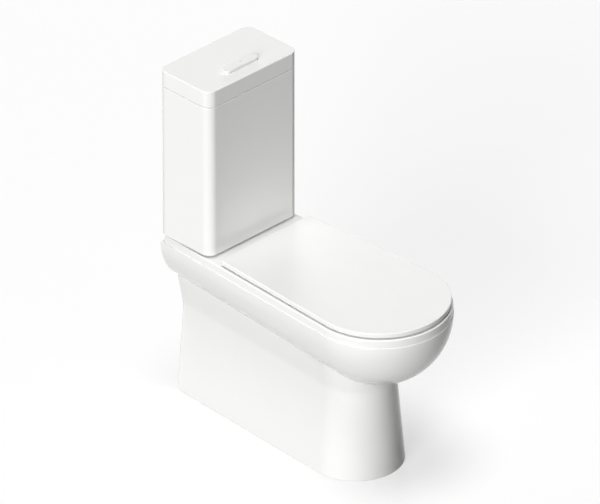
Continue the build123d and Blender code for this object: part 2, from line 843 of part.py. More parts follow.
with BuildPart() as tank_cushions:
    for x in (-bolt_x, bolt_x):
        with BuildSketch(Plane.XY.offset(rim_height)) as cushion:
            with Locations((x, bolt_y)):
                SlotOverall(cushion_length, 2 * bolt_washer_radius, rotation=90)
                Circle(bolt_radius + bolt_hole_gap, mode=Mode.SUBTRACT)
        extrude(cushion.sketch, amount=tank_gap)
finish(tank_cushions, "tank_cushions")

# Fill valve
fill_place = [(fill_x, fill_y)]
fill_base = tank_inside + washer_thick
column_base = fill_base + shank_flange_thick
column_top = lid_ceiling - column_drop
cap_top = column_top + cap_height
arm_pivot_y = fill_y + arm_pivot_back
arm_pivot_z = cap_top + lever_radius + lever_gap
link_y = fill_y - float_radius + link_inset
float_top = column_top - float_space

with BuildPart() as fill_valve_column:
    shank_bottom = tank_base - shank_length
    groove_base = shank_bottom + hose_thread
    groove_top = groove_base + shank_groove
    washer(fill_place, shank_bottom, shank_radius, shank_bore, hose_thread)
    washer(fill_place, groove_base, shank_radius - groove_depth, shank_bore, shank_groove)
    washer(fill_place, groove_top, shank_radius, shank_bore, fill_base - groove_top)
    washer(fill_place, fill_base, shank_flange, shank_bore, shank_flange_thick)
    washer(fill_place, column_base, column_radius, shank_bore, column_top - column_base)
finish(fill_valve_column, "fill_valve_column")

with BuildPart() as fill_washer:
    washer(fill_place, tank_inside, shank_flange, shank_radius, washer_thick)
finish(fill_washer, "fill_washer")

with BuildPart() as inlet_locknut:
    hex_nut(fill_place, tank_base - inlet_nut_thick, inlet_nut_flats, shank_radius, inlet_nut_thick)
finish(inlet_locknut, "inlet_locknut")

with BuildPart() as fill_valve_cap:
    with BuildSketch(Plane.XY.offset(column_top)):
        with Locations(*fill_place):
            Circle(cap_radius)
    extrude(amount=cap_height)
    chamfer(fill_valve_cap.faces().sort_by(Axis.Z)[-1].edges(), cap_chamfer)
    ear_out = arm_width / 2 + lever_gap
    for ear_x in (fill_x - ear_out - ear_thick, fill_x + ear_out):
        box_between(
            (ear_x, arm_pivot_y - lever_radius, cap_top - cap_height / 2),
            (ear_x + ear_thick, arm_pivot_y + lever_radius, arm_pivot_z),
        )
        with BuildSketch(Plane.YZ.offset(ear_x)) as cap_ear:
            with Locations((arm_pivot_y, arm_pivot_z)):
                Circle(lever_radius)
        extrude(cap_ear.sketch, amount=ear_thick)
    with BuildSketch(Plane.YZ.offset(fill_x - cap_radius)) as arm_hole:
        with Locations((arm_pivot_y, arm_pivot_z)):
            Circle(pin_radius + pin_gap)
    extrude(arm_hole.sketch, amount=2 * cap_radius, mode=Mode.SUBTRACT)
finish(fill_valve_cap, "fill_valve_cap")

with BuildPart() as fill_lever:
    lean = radians(arm_angle)
    tip_y, tip_z = arm_pivot_y - arm_length * cos(lean), arm_pivot_z + arm_length * sin(lean)
    with BuildSketch(Plane.YZ.offset(fill_x - arm_width / 2)):
        with Locations(((arm_pivot_y + tip_y) / 2, (arm_pivot_z + tip_z) / 2)):
            SlotCenterToCenter(arm_length, 2 * lever_radius, rotation=-arm_angle)
        with Locations((arm_pivot_y, arm_pivot_z)):
            Circle(pin_radius + pin_gap, mode=Mode.SUBTRACT)
    extrude(amount=arm_width)
finish(fill_lever, "fill_lever")

with BuildPart() as fill_lever_pin:
    pin_low_x = fill_x - arm_width / 2 - lever_gap - ear_thick
    with BuildSketch(Plane.YZ.offset(pin_low_x)):
        with Locations((arm_pivot_y, arm_pivot_z)):
            Circle(pin_radius)
    extrude(amount=arm_width + 2 * lever_gap + 2 * ear_thick)
finish(fill_lever_pin, "fill_lever_pin")

with BuildPart() as float_cup:
    sleeve = column_radius + float_gap
    washer(fill_place, float_top - float_height, float_radius, sleeve, float_height)
    with BuildSketch(Plane.XY.offset(float_top - float_height)):
        with Locations(*fill_place):
            Circle(float_radius - float_wall)
            Circle(sleeve + float_wall, mode=Mode.SUBTRACT)
    extrude(amount=float_height - float_wall, mode=Mode.SUBTRACT)
finish(float_cup, "float_cup")

with BuildPart() as float_link:
    with BuildSketch(Plane.XY.offset(float_top)):
        with Locations((fill_x, link_y)):
            Circle(link_radius)
    extrude(amount=tip_z - lever_radius - lever_gap - float_top)
finish(float_link, "float_link")

# Seat: lid over ring, both on one pin at each hinge post
lid_base = rim_height + seat_lid_lift
seat_lid_top = lid_base + seat_lid_thick
panel_base = seat_lid_top - seat_lid_panel
ring_base = rim_height + ring_lift
ring_top = ring_base + ring_thick
ring_inset = lid_inset + seat_skirt + ring_gap
ring_rear_y = lid_rear_y - ring_rear_gap
post_low, post_high = hinge_x - post_width / 2, hinge_x + post_width / 2
plate_rear_y = hinge_y + post_back
plate_front_y = plate_rear_y - plate_length
outer_barrel = (post_high + barrel_gap, post_high + barrel_gap + barrel_width)
inner_barrel = (post_low - barrel_gap - barrel_width, post_low - barrel_gap)
lid_barrel = (inner_barrel[0] - barrel_gap - barrel_width, inner_barrel[0] - barrel_gap)


def along_hinge(low_x, high_x, radius, mode=Mode.ADD):
    """A round bar on the hinge's axis, and its mirror image."""
    for start, end in ((low_x, high_x), (-high_x, -low_x)):
        with BuildSketch(Plane.YZ.offset(start)) as disc:
            with Locations((hinge_y, hinge_z)):
                Circle(radius)
        extrude(disc.sketch, amount=end - start, mode=mode)


def both_sides(low, high, mode=Mode.ADD):
    """A block and its mirror image across the middle of the seat."""
    box_between(low, high, mode=mode)
    box_between((-high[0], *low[1:]), (-low[0], *high[1:]), mode=mode)


with BuildPart() as seat_lid:
    with BuildSketch(Plane.XY.offset(lid_base)):
        plan_outline(pan_half_width - lid_inset, bowl_centre_y, lid_rear_y)
    extrude(amount=seat_lid_thick)
    fillet(seat_lid.edges().filter_by(Axis.Z).sort_by(Axis.Y)[-2:], seat_lid_corner)
    chamfer(seat_lid.faces().sort_by(Axis.Z)[-1].edges(), seat_lid_chamfer)
    with BuildSketch(Plane.XY.offset(lid_base)) as pocket:
        plan_outline(pan_half_width - lid_inset - seat_skirt, bowl_centre_y, lid_rear_y - seat_skirt)
        fillet(pocket.vertices().sort_by(Axis.Y)[-2:], seat_lid_corner - seat_skirt)
    extrude(amount=seat_lid_thick - seat_lid_panel, mode=Mode.SUBTRACT)
    both_sides(
        (lid_barrel[0] - notch_gap, ring_rear_y, lid_base - cut_over),
        (outer_barrel[1] + notch_gap, lid_rear_y + cut_over, panel_base),
        mode=Mode.SUBTRACT,
    )
    along_hinge(*lid_barrel, barrel_radius)
    both_sides(
        (lid_barrel[0], hinge_y - barrel_radius, hinge_z),
        (lid_barrel[1], hinge_y + barrel_radius, panel_base),
    )
    along_hinge(*lid_barrel, hinge_pin_radius + pin_gap, mode=Mode.SUBTRACT)
finish(seat_lid, "seat_lid")

with BuildPart() as seat_ring:
    with BuildSketch(Plane.XY.offset(ring_base)):
        plan_outline(pan_half_width - ring_inset, bowl_centre_y, ring_rear_y)
        oval_outline(
            front_y + hole_front, bowl_rear_y - hole_rear, hole_front_radius, hole_rear_radius,
            mode=Mode.SUBTRACT,
        )
    extrude(amount=ring_thick)
    chamfer(seat_ring.faces().sort_by(Axis.Z)[-1].edges(), ring_chamfer)
    both_sides(
        (post_low - barrel_gap, plate_front_y - notch_gap, ring_base - cut_over),
        (post_high + barrel_gap, ring_rear_y + cut_over, ring_top + cut_over),
        mode=Mode.SUBTRACT,
    )
    for barrel in (outer_barrel, inner_barrel):
        along_hinge(*barrel, barrel_radius)
        both_sides(
            (barrel[0], ring_rear_y - ring_rear_gap / 2, hinge_z - barrel_radius),
            (barrel[1], hinge_y, ring_top - ring_chamfer),
        )
        along_hinge(*barrel, hinge_pin_radius + pin_gap, mode=Mode.SUBTRACT)
finish(seat_ring, "seat_ring")

with BuildPart() as hinge_posts:
    both_sides(
        (post_low, plate_front_y, rim_height),
        (post_high, plate_rear_y, rim_height + plate_thick),
    )
    both_sides(
        (post_low, hinge_y - barrel_radius, rim_height),
        (post_high, plate_rear_y, hinge_z),
    )
    along_hinge(post_low, post_high, barrel_radius)
    along_hinge(post_low, post_high, hinge_pin_radius + pin_gap, mode=Mode.SUBTRACT)
    bore(seat_bolt_places, hinge_bolt_radius, rim_height - cut_over, rim_height + 2 * plate_thick)
finish(hinge_posts, "hinge_posts")

with BuildPart() as hinge_pins:
    along_hinge(lid_barrel[0], outer_barrel[1], hinge_pin_radius)
finish(hinge_pins, "hinge_pins")

plate_top = rim_height + plate_thick
with BuildPart() as hinge_bolts:
    for place in seat_bolt_places:
        with BuildSketch(Plane.XY.offset(plate_top - hinge_bolt_length)) as stem:
            with Locations(place):
                Circle(hinge_bolt_radius)
        extrude(stem.sketch, amount=hinge_bolt_length)
        with BuildSketch(Plane.XY.offset(plate_top)) as cap:
            with Locations(place):
                Circle(hinge_bolt_head)
        extrude(cap.sketch, amount=hinge_bolt_head_thick)
finish(hinge_bolts, "hinge_bolts")

with BuildPart() as expansion_sleeves:
    sleeve_base = plate_top - hinge_bolt_length + hinge_nut_thick
    washer(seat_bolt_places, sleeve_base, seat_hole_radius - sleeve_gap, hinge_bolt_radius,
           rim_height - sleeve_gap - sleeve_base)
finish(expansion_sleeves, "expansion_sleeves")

with BuildPart() as hinge_nuts:
    hex_nut(seat_bolt_places, plate_top - hinge_bolt_length, 2 * hinge_bolt_head,
            hinge_bolt_radius, hinge_nut_thick)
finish(hinge_nuts, "hinge_nuts")


def pad_places(inset):
    """Two places near the front and two near the back, at a distance in from the rim."""
    reach, angle = bowl_radius - inset, radians(buffer_angle)
    front_x, front_place_y = reach * sin(angle), bowl_centre_y - reach * cos(angle)
    rear_y = bowl_rear_y + buffer_rear
    rear_x = pan_half_width + (wall_y - rear_y) * flare_run - inset
    return [
        (-front_x, front_place_y, -buffer_angle),
        (front_x, front_place_y, buffer_angle),
        (-rear_x, rear_y, 90),
        (rear_x, rear_y, 90),
    ]


with BuildPart() as seat_buffers:
    for x, y, turn in pad_places(buffer_inset):
        with BuildSketch(Plane.XY.offset(rim_height + buffer_gap)) as pad:
            with Locations((x, y)):
                SlotOverall(buffer_length, buffer_width, rotation=turn)
        extrude(pad.sketch, amount=ring_lift - buffer_gap)
finish(seat_buffers, "seat_buffers")

with BuildPart() as lid_buffers:
    for x, y, turn in pad_places(lid_buffer_inset):
        with BuildSketch(Plane.XY.offset(ring_top + buffer_gap)) as button:
            with Locations((x, y)):
                Circle(lid_buffer_radius)
        extrude(button.sketch, amount=panel_base - ring_top - buffer_gap)
finish(lid_buffers, "lid_buffers")
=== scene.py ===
"""Looks of a wall-faced toilet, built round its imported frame.

The panel in the sidebar of the 3D view has one button for each group of pieces, and their sizes.
"""

import json
import math
from contextlib import contextmanager
from functools import cache

import bmesh
import bpy
from bpy.props import FloatProperty, FloatVectorProperty, PointerProperty
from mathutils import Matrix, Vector


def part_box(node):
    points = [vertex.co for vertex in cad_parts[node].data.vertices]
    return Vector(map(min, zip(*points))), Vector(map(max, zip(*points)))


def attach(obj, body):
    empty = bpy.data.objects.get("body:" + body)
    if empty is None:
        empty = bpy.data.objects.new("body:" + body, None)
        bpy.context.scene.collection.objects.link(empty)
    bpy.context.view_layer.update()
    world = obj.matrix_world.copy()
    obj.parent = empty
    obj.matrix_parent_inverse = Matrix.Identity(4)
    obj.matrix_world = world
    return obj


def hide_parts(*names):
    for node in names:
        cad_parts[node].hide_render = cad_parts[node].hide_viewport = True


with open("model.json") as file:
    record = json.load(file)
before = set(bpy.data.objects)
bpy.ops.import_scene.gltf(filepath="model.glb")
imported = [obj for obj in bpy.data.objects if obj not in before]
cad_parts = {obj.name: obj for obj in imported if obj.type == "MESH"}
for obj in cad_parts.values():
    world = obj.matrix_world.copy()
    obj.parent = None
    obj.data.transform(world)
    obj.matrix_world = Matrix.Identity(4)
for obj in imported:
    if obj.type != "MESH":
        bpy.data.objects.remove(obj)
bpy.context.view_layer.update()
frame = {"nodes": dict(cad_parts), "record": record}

bl_info = {
    "name": "Toilet looks",
    "version": (1, 0, 0),
    "blender": (4, 5, 0),
    "location": "3D View > Sidebar > Toilet",
    "description": "Makes the visible pieces of a wall-faced toilet, their finishes and the studio",
    "category": "Object",
}

# How many facets make up each kind of round edge
ARC_STEPS = 6
CORNER_STEPS = 14
ROUND_FRONT_STEPS = 56
BUTTON_END_STEPS = 24
BUTTON_EDGE_STEPS = 3
PARTING_STEPS = 360
DRILL_STEPS = 64
CROSS_DRILL_STEPS = 32
LID_BARREL_STEPS = 24
RING_BARREL_STEPS = 32
THREAD_TURN_STEPS = 36

# What counts as a sharp edge, as flat and as one place, and the digits kept when heights are read
SHARP_ANGLE = math.radians(32)
FLAT_ANGLE = math.radians(0.2)
MERGE_DISTANCE = 1e-6
DIGITS = 5

# How far blocks reach into or past one another, and how near two heights or radii count as one
OVERLAP = 0.0005

# Clearances, and the radii of two kinds of hole, in metres
PIN_GAP = 0.00005
SHANK_GAP = 0.001
BOLT_HOLE = 0.0055
COLUMN_BORE = 0.005

# How far outside the hinge posts the seat ring's rear edge is read
CLEAR_OF_HINGES = 0.03

# Half the width of a thread's foot and of its crest, as shares of the pitch
THREAD_FOOT = 0.46
THREAD_CREST = 0.08

# The corners of a swept plan run along the rear first, and the front ones start at this index
FIRST_FRONT_CORNER = 2

# Sockets of the node that mixes two colours
MIX_FACTOR, MIX_FIRST, MIX_SECOND, MIX_RESULT = 0, 6, 7, 2

# Rays of the node that softens edges
BEVEL_SAMPLES = 6

# How well softened and true normals agree where wear is full, and where it ends
WORN, UNWORN = 0.80, 0.995

# The glaze: its tint over edges, iron specks, the peel's share of the relief, and its roughness
THIN_GLAZE = (0.93, 0.925, 0.91)
SPECK_COLOUR, SPECK_SHARE = (0.55, 0.52, 0.47), 0.25
PEEL_SHARE = 0.06
GLAZE_ROUGHNESS, SMEAR_ROUGHNESS = 0.07, 0.05

# Plastics and rubbers: what scuffs, dust and cloudy patches do to the roughness
SCUFF_ROUGHNESS = 0.08
RUBBER_ROUGHNESS, DUST_SMOOTHNESS = 0.8, 0.1
BUFFER_ROUGHNESS, CLOUD_ROUGHNESS = 0.35, 0.1
YELLOWED = (1.0, 0.98, 0.9)

# Metals: how much the dull spots cover and roughen, what turned rings add, and how much brighter
# the edges are painted as a highlight
TARNISH_SHARE, TARNISH_ROUGHNESS = 0.5, 0.15
RING_ROUGHNESS = 0.12
PAINTED_EDGE_HIGHLIGHT = 1.25

# Moulded plastics: colour, roughness, and in metres the depth of the grain and the edges' radius
PLASTICS = {
    "seat_plastic": ("seat", 0.2, 0.00001, 0.0012),
    "button_plastic": ("button", 0.28, 0.00002, 0.0005),
    "valve_plastic": ("valve", 0.4, 0.00003, 0.0005),
    "blue_plastic": ("blue", 0.38, 0.00003, 0.0005),
    "grey_plastic": ("grey", 0.42, 0.00003, 0.0005),
}

# Turned metals: colour, roughness and the colour of their dull spots
METALS = {
    "stainless": ("steel", 0.22, (0.34, 0.33, 0.31)),
    "brass": ("brass", 0.3, (0.33, 0.22, 0.10)),
}

# The photograph's frame, how many of its pixels a metre takes, and the sensor in millimetres
IMAGE_WIDTH = 600
PIXELS_PER_METRE = 405.95
SENSOR = 36.0

# The studio: the floor in metres, and each lamp's direction, width in degrees and use in gloss
WHITE_STRENGTH = 1.0
WHITE = (1.0, 1.0, 1.0, 1.0)
FLOOR_HALF = 15.0
FLOOR_DROP = 0.0002
LAMPS = {
    "side_lamp": ((-0.90, -0.36, 0.26), 30, True),
    "top_lamp": ((-0.14, -0.03, 0.99), 25, False),
    "fill_lamp": ((0.66, 0.74, 0.13), 20, False),
}


def length(name, description, default):
    """A size that the user can change."""
    return FloatProperty(
        name=name, description=description, default=default, min=0.0, unit="LENGTH", precision=5
    )


def angle(name, description, degrees):
    """An angle that the user can change."""
    return FloatProperty(
        name=name, description=description, default=math.radians(degrees), subtype="ANGLE"
    )


def strength(name, description, default):
    """How strong a light is."""
    return FloatProperty(name=name, description=description, default=default, min=0.0)


def colour(name, description, default):
    """A colour that the user can change."""
    return FloatVectorProperty(
        name=name, description=description, default=default, size=3, min=0.0, max=1.0,
        subtype="COLOR",
    )


class CisternSizes(bpy.types.PropertyGroup):
    """Sizes of the cistern and its lid that their boxes in the frame don't give."""

    corner: length("Corner radius", "Radius of the upright corners, seen from above", 0.025)
    wall: length("Wall", "Thickness of the cistern's walls", 0.010)
    floor: length("Floor", "Thickness of the cistern's floor", 0.012)
    foot_edge: length("Foot edge", "Radius of the lower edge", 0.0015)
    seam_edge: length("Seam edge", "Radius of the two edges at the seam", 0.0018)
    top_edge: length("Top edge", "Radius around the top of the lid", 0.002)
    inner_edge: length("Inner edge", "Radius where the walls meet the floor", 0.003)
    flat_ring: length("Flat ring", "How far in from the outline the flat faces start", 0.020)
    lid_step: length("Lid step", "How far the lid's lip stands in from the outline", 0.012)
    lid_skirt: length("Lid skirt", "Inside of the lid's lip, in from the outline", 0.018)
    lid_lip: length("Lid lip", "How far the lip hangs below the seam", 0.008)
    lid_edge: length("Lip edge", "Radius of the lip's two lower edges", 0.0018)
    lid_roof: length("Lid roof", "Thickness of the lid's top", 0.012)
    shadow_gap: length("Shadow gap", "Height of the groove above the seam", 0.0010)
    shadow_depth: length("Shadow depth", "Depth of the groove above the seam", 0.0035)


class ButtonSizes(bpy.types.PropertyGroup):
    """Sizes of the flush buttons and of the housing that they slide in."""

    plan_length: length("Length", "Length of the long plan that both buttons share", 0.1132)
    width: length("Width", "Width of that plan, whose ends are round", 0.0234)
    skin: length("Skin", "Thickness of the hollow caps", 0.002)
    edge: length("Edge", "Radius around the top of each cap", 0.0012)
    parting_radius: length("Parting radius", "Radius of the arc between the buttons", 0.060)
    parting_place: length("Parting place", "How far right the arc crosses the middle line", 0.0066)
    parting_lean: angle("Parting lean", "Slant of the arc where it crosses the middle line", 9.3)
    gap: length("Gap", "Clearance round each cap", 0.0008)
    wall: length("Housing wall", "Thickness of the housing's wall", 0.0012)
    flange: length("Flange", "Width of the flange that rests on the lid", 0.0010)
    flange_rise: length("Flange rise", "Height of the flange", 0.0008)
    floor: length("Housing floor", "Thickness of the housing's floor", 0.002)
    rod_gap: length("Rod gap", "Clearance round the push rods", 0.0004)
    slot_gap: length("Slot gap", "Clearance between the housing and the lid", 0.0003)
    hook_place: length("Hook place", "From the middle to each snap hook", 0.030)
    hook_length: length("Hook length", "Length of a snap hook", 0.010)
    hook_depth: length("Hook depth", "Height of a snap hook", 0.003)
    hook_reach: length("Hook reach", "How far a snap hook stands out", 0.002)


class SeatSizes(bpy.types.PropertyGroup):
    """Sizes of the seat's lid and ring."""

    taper: angle("Taper", "How much each side narrows towards the rear", 3.23)
    lid_corner: length("Lid corner", "Radius of the lid's rear corners", 0.010)
    lid_edge: length("Lid edge", "Radius around the top of the lid", 0.0018)
    lid_foot: length("Lid foot", "Radius at the bottom of the lid's skirt", 0.0008)
    lid_depth: length("Lid depth", "From the top of the lid to the bottom of its skirt", 0.0122)
    skirt: length("Skirt", "Thickness of the lid's skirt", 0.004)
    panel: length("Panel", "Thickness of the lid's panel", 0.004)
    panel_inner: length("Panel fillet", "Radius where the skirt meets the panel", 0.002)
    flat_ring: length("Flat ring", "How far in from the outline the flat faces start", 0.008)
    ring_edge: length("Ring edge", "Radius along the top of the ring", 0.0035)
    ring_foot: length("Ring foot", "Radius along the bottom of the ring", 0.001)
    ring_corner: length("Ring corner", "Radius of the ring's rear corners", 0.006)
    ring_flat: length("Ring flat", "How far in from the ring's outline it is flat", 0.0055)
    ring_thickness: length("Ring thickness", "Height of the ring", 0.009)
    hole_front: length("Hole front", "From the front of the ring to the hole", 0.0510)
    hole_length: length("Hole length", "Length of the hole", 0.347)
    hole_front_round: length("Hole front radius", "Radius of the hole's front end", 0.117)
    hole_rear_round: length("Hole rear radius", "Radius of the hole's rear end", 0.104)
    barrel: length("Barrel", "Length of a hinge barrel", 0.012)
    barrel_radius: length("Barrel radius", "Radius of a hinge barrel", 0.0048)
    barrel_gap: length("Barrel gap", "Clearance beside a barrel", 0.0003)
    notch_gap: length("Notch gap", "Clearance round the barrels in the skirt", 0.0015)
    root: length("Barrel root", "How far a ring barrel's root reaches into the ring", 0.024)


class ThreadSizes(bpy.types.PropertyGroup):
    """Sizes of the screw threads."""

    pipe_pitch: length("Pipe pitch", "Pitch of the inlet's thread", 0.001814)
    pipe_depth: length("Pipe depth", "Depth of the inlet's thread", 0.0011)
    bolt_pitch: length("Bolt pitch", "Pitch of the coupling bolts' thread", 0.00125)
    bolt_depth: length("Bolt depth", "Depth of the coupling bolts' thread", 0.0007)


class FinishColours(bpy.types.PropertyGroup):
    """Colours of the finishes."""

    china: colour("China", "Glazed vitreous china", (0.86, 0.86, 0.85))
    seat: colour("Seat", "Moulded seat plastic", (0.87, 0.87, 0.865))
    button: colour("Buttons", "Satin plastic of the flush buttons", (0.84, 0.84, 0.84))
    valve: colour("Valve", "White plastic of the valves", (0.75, 0.75, 0.73))
    blue: colour("Blue", "Blue plastic of the moving valve parts", (0.02, 0.12, 0.42))
    grey: colour("Grey", "Grey plastic of nuts and caps", (0.28, 0.29, 0.30))
    rubber: colour("Rubber", "Black rubber of gaskets and washers", (0.02, 0.02, 0.021))
    soft: colour("Buffers", "Translucent rubber of the seat's buffers", (0.72, 0.73, 0.72))
    steel: colour("Steel", "Stainless steel of bolts and pins", (0.56, 0.56, 0.55))
    brass: colour("Brass", "Brass of wing nuts", (0.72, 0.50, 0.22))


class StageSettings(bpy.types.PropertyGroup):
    """Camera, lamps and floor."""

    azimuth: angle("Azimuth", "Direction of the camera around the object", -44.62)
    elevation: angle("Elevation", "Height of the camera above the horizon", 30.72)
    distance: length("Distance", "From the camera to the object, which sets the perspective", 40.0)
    aim: FloatVectorProperty(
        name="Aim", description="Point in the middle of the picture",
        default=(0.0, 0.0606, 0.5019), subtype="TRANSLATION",
    )
    side_lamp: strength("Side lamp", "Strength of the lamp on the left", 3.25)
    top_lamp: strength("Top lamp", "Strength of the lamp overhead", 1.95)
    fill_lamp: strength("Fill lamp", "Strength of the lamp behind on the right", 2.3)
    room: strength("Room", "Light that comes from all round", 0.02)
    floor_colour: colour("Floor", "Colour of the studio floor", (0.95, 0.95, 0.95))
    floor_bounce: colour("Floor bounce", "Colour of what the floor throws back", (0.08, 0.08, 0.08))
    floor_glow: FloatProperty(
        name="Floor glow", description="How much of the floor's brightness ignores shadow",
        default=0.6, min=0.0, max=1.0, subtype="FACTOR",
    )


class Varying:
    """A socket whose value changes over a surface or a shape; arithmetic on it adds Math nodes."""

    def __init__(self, nodes, socket):
        self.nodes = nodes
        self.socket = socket

    def math(self, operation, first, second):
        return self.nodes.add("ShaderNodeMath", {"operation": operation}, {0: first, 1: second})

    def __add__(self, other):
        return self.math("ADD", self, other)

    __radd__ = __add__

    def __sub__(self, other):
        return self.math("SUBTRACT", self, other)

    def __rsub__(self, other):
        return self.math("SUBTRACT", other, self)

    def __mul__(self, other):
        return self.math("MULTIPLY", self, other)

    __rmul__ = __mul__

    def __truediv__(self, other):
        return self.math("DIVIDE", self, other)

    def __neg__(self):
        return self * -1


class Nodes:
    """Adds nodes to one tree."""

    def __init__(self, tree):
        self.tree = tree
        tree.nodes.clear()

    def add(self, kind, settings=None, values=None, output=0):
        """A node of this type: its settings first, then its sockets' values or links."""
        node = self.tree.nodes.new(kind)
        for name, setting in (settings or {}).items():
            setattr(node, name, setting)
        for key, value in (values or {}).items():
            if isinstance(value, Varying):
                self.tree.links.new(value.socket, node.inputs[key])
            else:
                node.inputs[key].default_value = value
        return Varying(self, node.outputs[output]) if node.outputs else None

    def blend(self, share, first, second):
        """A colour between two colours."""
        colours = {MIX_FIRST: opaque(first), MIX_SECOND: opaque(second)}
        return self.add(
            "ShaderNodeMix", {"data_type": "RGBA"}, {MIX_FACTOR: share, **colours}, MIX_RESULT
        )


def opaque(shade):
    """A colour with its alpha, or a link as it is."""
    return shade if isinstance(shade, Varying) else (*shade, 1.0)


def tinted(shade, tint):
    """A colour with each channel multiplied."""
    return tuple(channel * share for channel, share in zip(shade, tint))


def darker(shade, share):
    """A colour brought towards black."""
    return tinted(shade, (share, share, share))


def towards(shade, grey, share):
    """A colour brought towards a grey."""
    return tuple(channel + (grey - channel) * share for channel in shade)


class Finish(Nodes):
    """The node tree of one material."""

    def __init__(self, name):
        self.material = bpy.data.materials.new(name)
        self.material.use_nodes = True
        super().__init__(self.material.node_tree)
        self.place = self.add("ShaderNodeTexCoord", output="Object")

    def noise(self, scale, detail=2.0, roughness=0.5, stretch=None):
        """Mottling between 0 and 1, scale in spots per metre."""
        place = self.place
        if stretch:
            place = self.add("ShaderNodeMapping", None, {"Vector": place, "Scale": stretch})
        return self.add(
            "ShaderNodeTexNoise",
            None,
            {"Vector": place, "Scale": scale, "Detail": detail, "Roughness": roughness},
        )

    def step(self, value, low, high):
        """0 below low, 1 above high and a slope between."""
        return self.add(
            "ShaderNodeMapRange",
            {"interpolation_type": "SMOOTHSTEP"},
            {"Value": value, "From Min": low, "From Max": high},
        )

    def soft_edges(self, radius):
        """Normals as if every edge had this radius."""
        return self.add("ShaderNodeBevel", {"samples": BEVEL_SAMPLES}, {"Radius": radius})

    def flatness(self, softened):
        """1 on flat faces, less where the softened normal leaves the face's own."""
        own = self.add("ShaderNodeNewGeometry", output="Normal")
        agreement = self.add(
            "ShaderNodeVectorMath", {"operation": "DOT_PRODUCT"}, {0: softened, 1: own}, "Value"
        )
        return self.step(agreement, WORN, UNWORN)

    def bump(self, height, depth, normal):
        """Relief in metres on top of a normal."""
        return self.add(
            "ShaderNodeBump", None, {"Height": height, "Distance": depth, "Normal": normal}
        )

    def surface(self, values):
        """The shader that ends the material."""
        shader = self.add("ShaderNodeBsdfPrincipled", None, values)
        self.add("ShaderNodeOutputMaterial", None, {"Surface": shader})
        return self.material


def glazed_china(shade):
    """White glaze over a warm body: faintly mottled, slightly wavy, thin at the edges."""
    finish = Finish("glazed_china")
    edges = finish.soft_edges(radius=0.0022)
    flat = finish.flatness(edges)
    cloud = finish.noise(scale=9.0, detail=3.0)
    pooled = finish.blend(cloud, darker(shade, share=0.985), shade)
    thin = finish.blend(flat, tinted(shade, THIN_GLAZE), pooled)
    speck = finish.step(finish.noise(scale=420.0, detail=1.0), low=0.77, high=0.80)
    body = finish.blend(speck * SPECK_SHARE, thin, SPECK_COLOUR)
    wave = finish.noise(scale=26.0, detail=1.0, roughness=0.4)
    peel = finish.noise(scale=260.0, detail=1.0)
    relief = finish.bump(wave + peel * PEEL_SHARE, depth=0.00035, normal=edges)
    smear = finish.noise(scale=14.0, detail=4.0, roughness=0.6)
    return finish.surface({
        "Base Color": body,
        "Roughness": GLAZE_ROUGHNESS + smear * SMEAR_ROUGHNESS,
        "Normal": relief,
        "IOR": 1.52,
        "Coat Weight": 0.2,
        "Coat Roughness": 0.03,
    })


def moulded_plastic(name, shade, roughness, grain, radius):
    """Moulded plastic: a fine satin grain, faint flow marks, and lighter worn edges."""
    finish = Finish(name)
    edges = finish.soft_edges(radius)
    flat = finish.flatness(edges)
    streaks = finish.noise(scale=18.0, detail=3.0, roughness=0.55, stretch=(1.0, 0.35, 1.0))
    flow = finish.blend(streaks, darker(shade, share=0.97), shade)
    worn = towards(shade, grey=1.0, share=0.12)
    marks = finish.noise(scale=95.0, detail=5.0, roughness=0.65, stretch=(1.0, 4.0, 2.0))
    scuff = finish.step(marks, low=0.62, high=0.75)
    return finish.surface({
        "Base Color": finish.blend(flat, worn, flow),
        "Roughness": roughness + scuff * SCUFF_ROUGHNESS,
        "Normal": finish.bump(finish.noise(scale=1400.0, detail=1.0), grain, edges),
        "IOR": 1.49,
    })


def washer_rubber(shade):
    """Black rubber: dull, dusty in patches, with a coarse moulded skin."""
    finish = Finish("black_rubber_finish")
    edges = finish.soft_edges(radius=0.0004)
    patches = finish.noise(scale=60.0, detail=4.0, roughness=0.6)
    dust = finish.step(patches, low=0.5, high=0.8)
    return finish.surface({
        "Base Color": finish.blend(dust, shade, towards(shade, grey=0.4, share=0.2)),
        "Roughness": RUBBER_ROUGHNESS - dust * DUST_SMOOTHNESS,
        "Normal": finish.bump(finish.noise(scale=900.0), depth=0.00006, normal=edges),
        "IOR": 1.52,
    })


def buffer_rubber(shade):
    """Clear soft rubber that has yellowed a little."""
    finish = Finish("buffer_rubber")
    edges = finish.soft_edges(radius=0.0006)
    cloud = finish.noise(scale=120.0)
    skin = finish.noise(scale=700.0, detail=1.0)
    return finish.surface({
        "Base Color": finish.blend(cloud, shade, tinted(shade, YELLOWED)),
        "Roughness": BUFFER_ROUGHNESS + cloud * CLOUD_ROUGHNESS,
        "Normal": finish.bump(skin, depth=0.00003, normal=edges),
        "Subsurface Weight": 0.3,
        "Subsurface Radius": (0.002, 0.002, 0.002),
        "Subsurface Scale": 1.0,
        "Transmission Weight": 0.15,
    })


def turned_metal(name, shade, roughness, tarnish):
    """Metal turned on a lathe: fine rings, dull spots, and a highlight painted on its edges as
    brighter colour.
    """
    finish = Finish(name)
    edges = finish.soft_edges(radius=0.0003)
    flat = finish.flatness(edges)
    rings = finish.noise(scale=250.0, stretch=(0.3, 0.3, 9.0))
    spots = finish.step(finish.noise(scale=180.0, detail=4.0, roughness=0.6), low=0.55, high=0.75)
    aged = finish.blend(spots * TARNISH_SHARE, shade, tarnish)
    # Painted highlight: the edges get a colour brighter than the metal's own, as if they caught the
    # light
    painted_highlight = tuple(min(1.0, channel * PAINTED_EDGE_HIGHLIGHT) for channel in shade)
    return finish.surface({
        "Base Color": finish.blend(flat, painted_highlight, aged),
        "Metallic": 1.0,
        "Roughness": roughness + rings * RING_ROUGHNESS + spots * TARNISH_ROUGHNESS,
        "Normal": finish.bump(rings, depth=0.00002, normal=edges),
    })


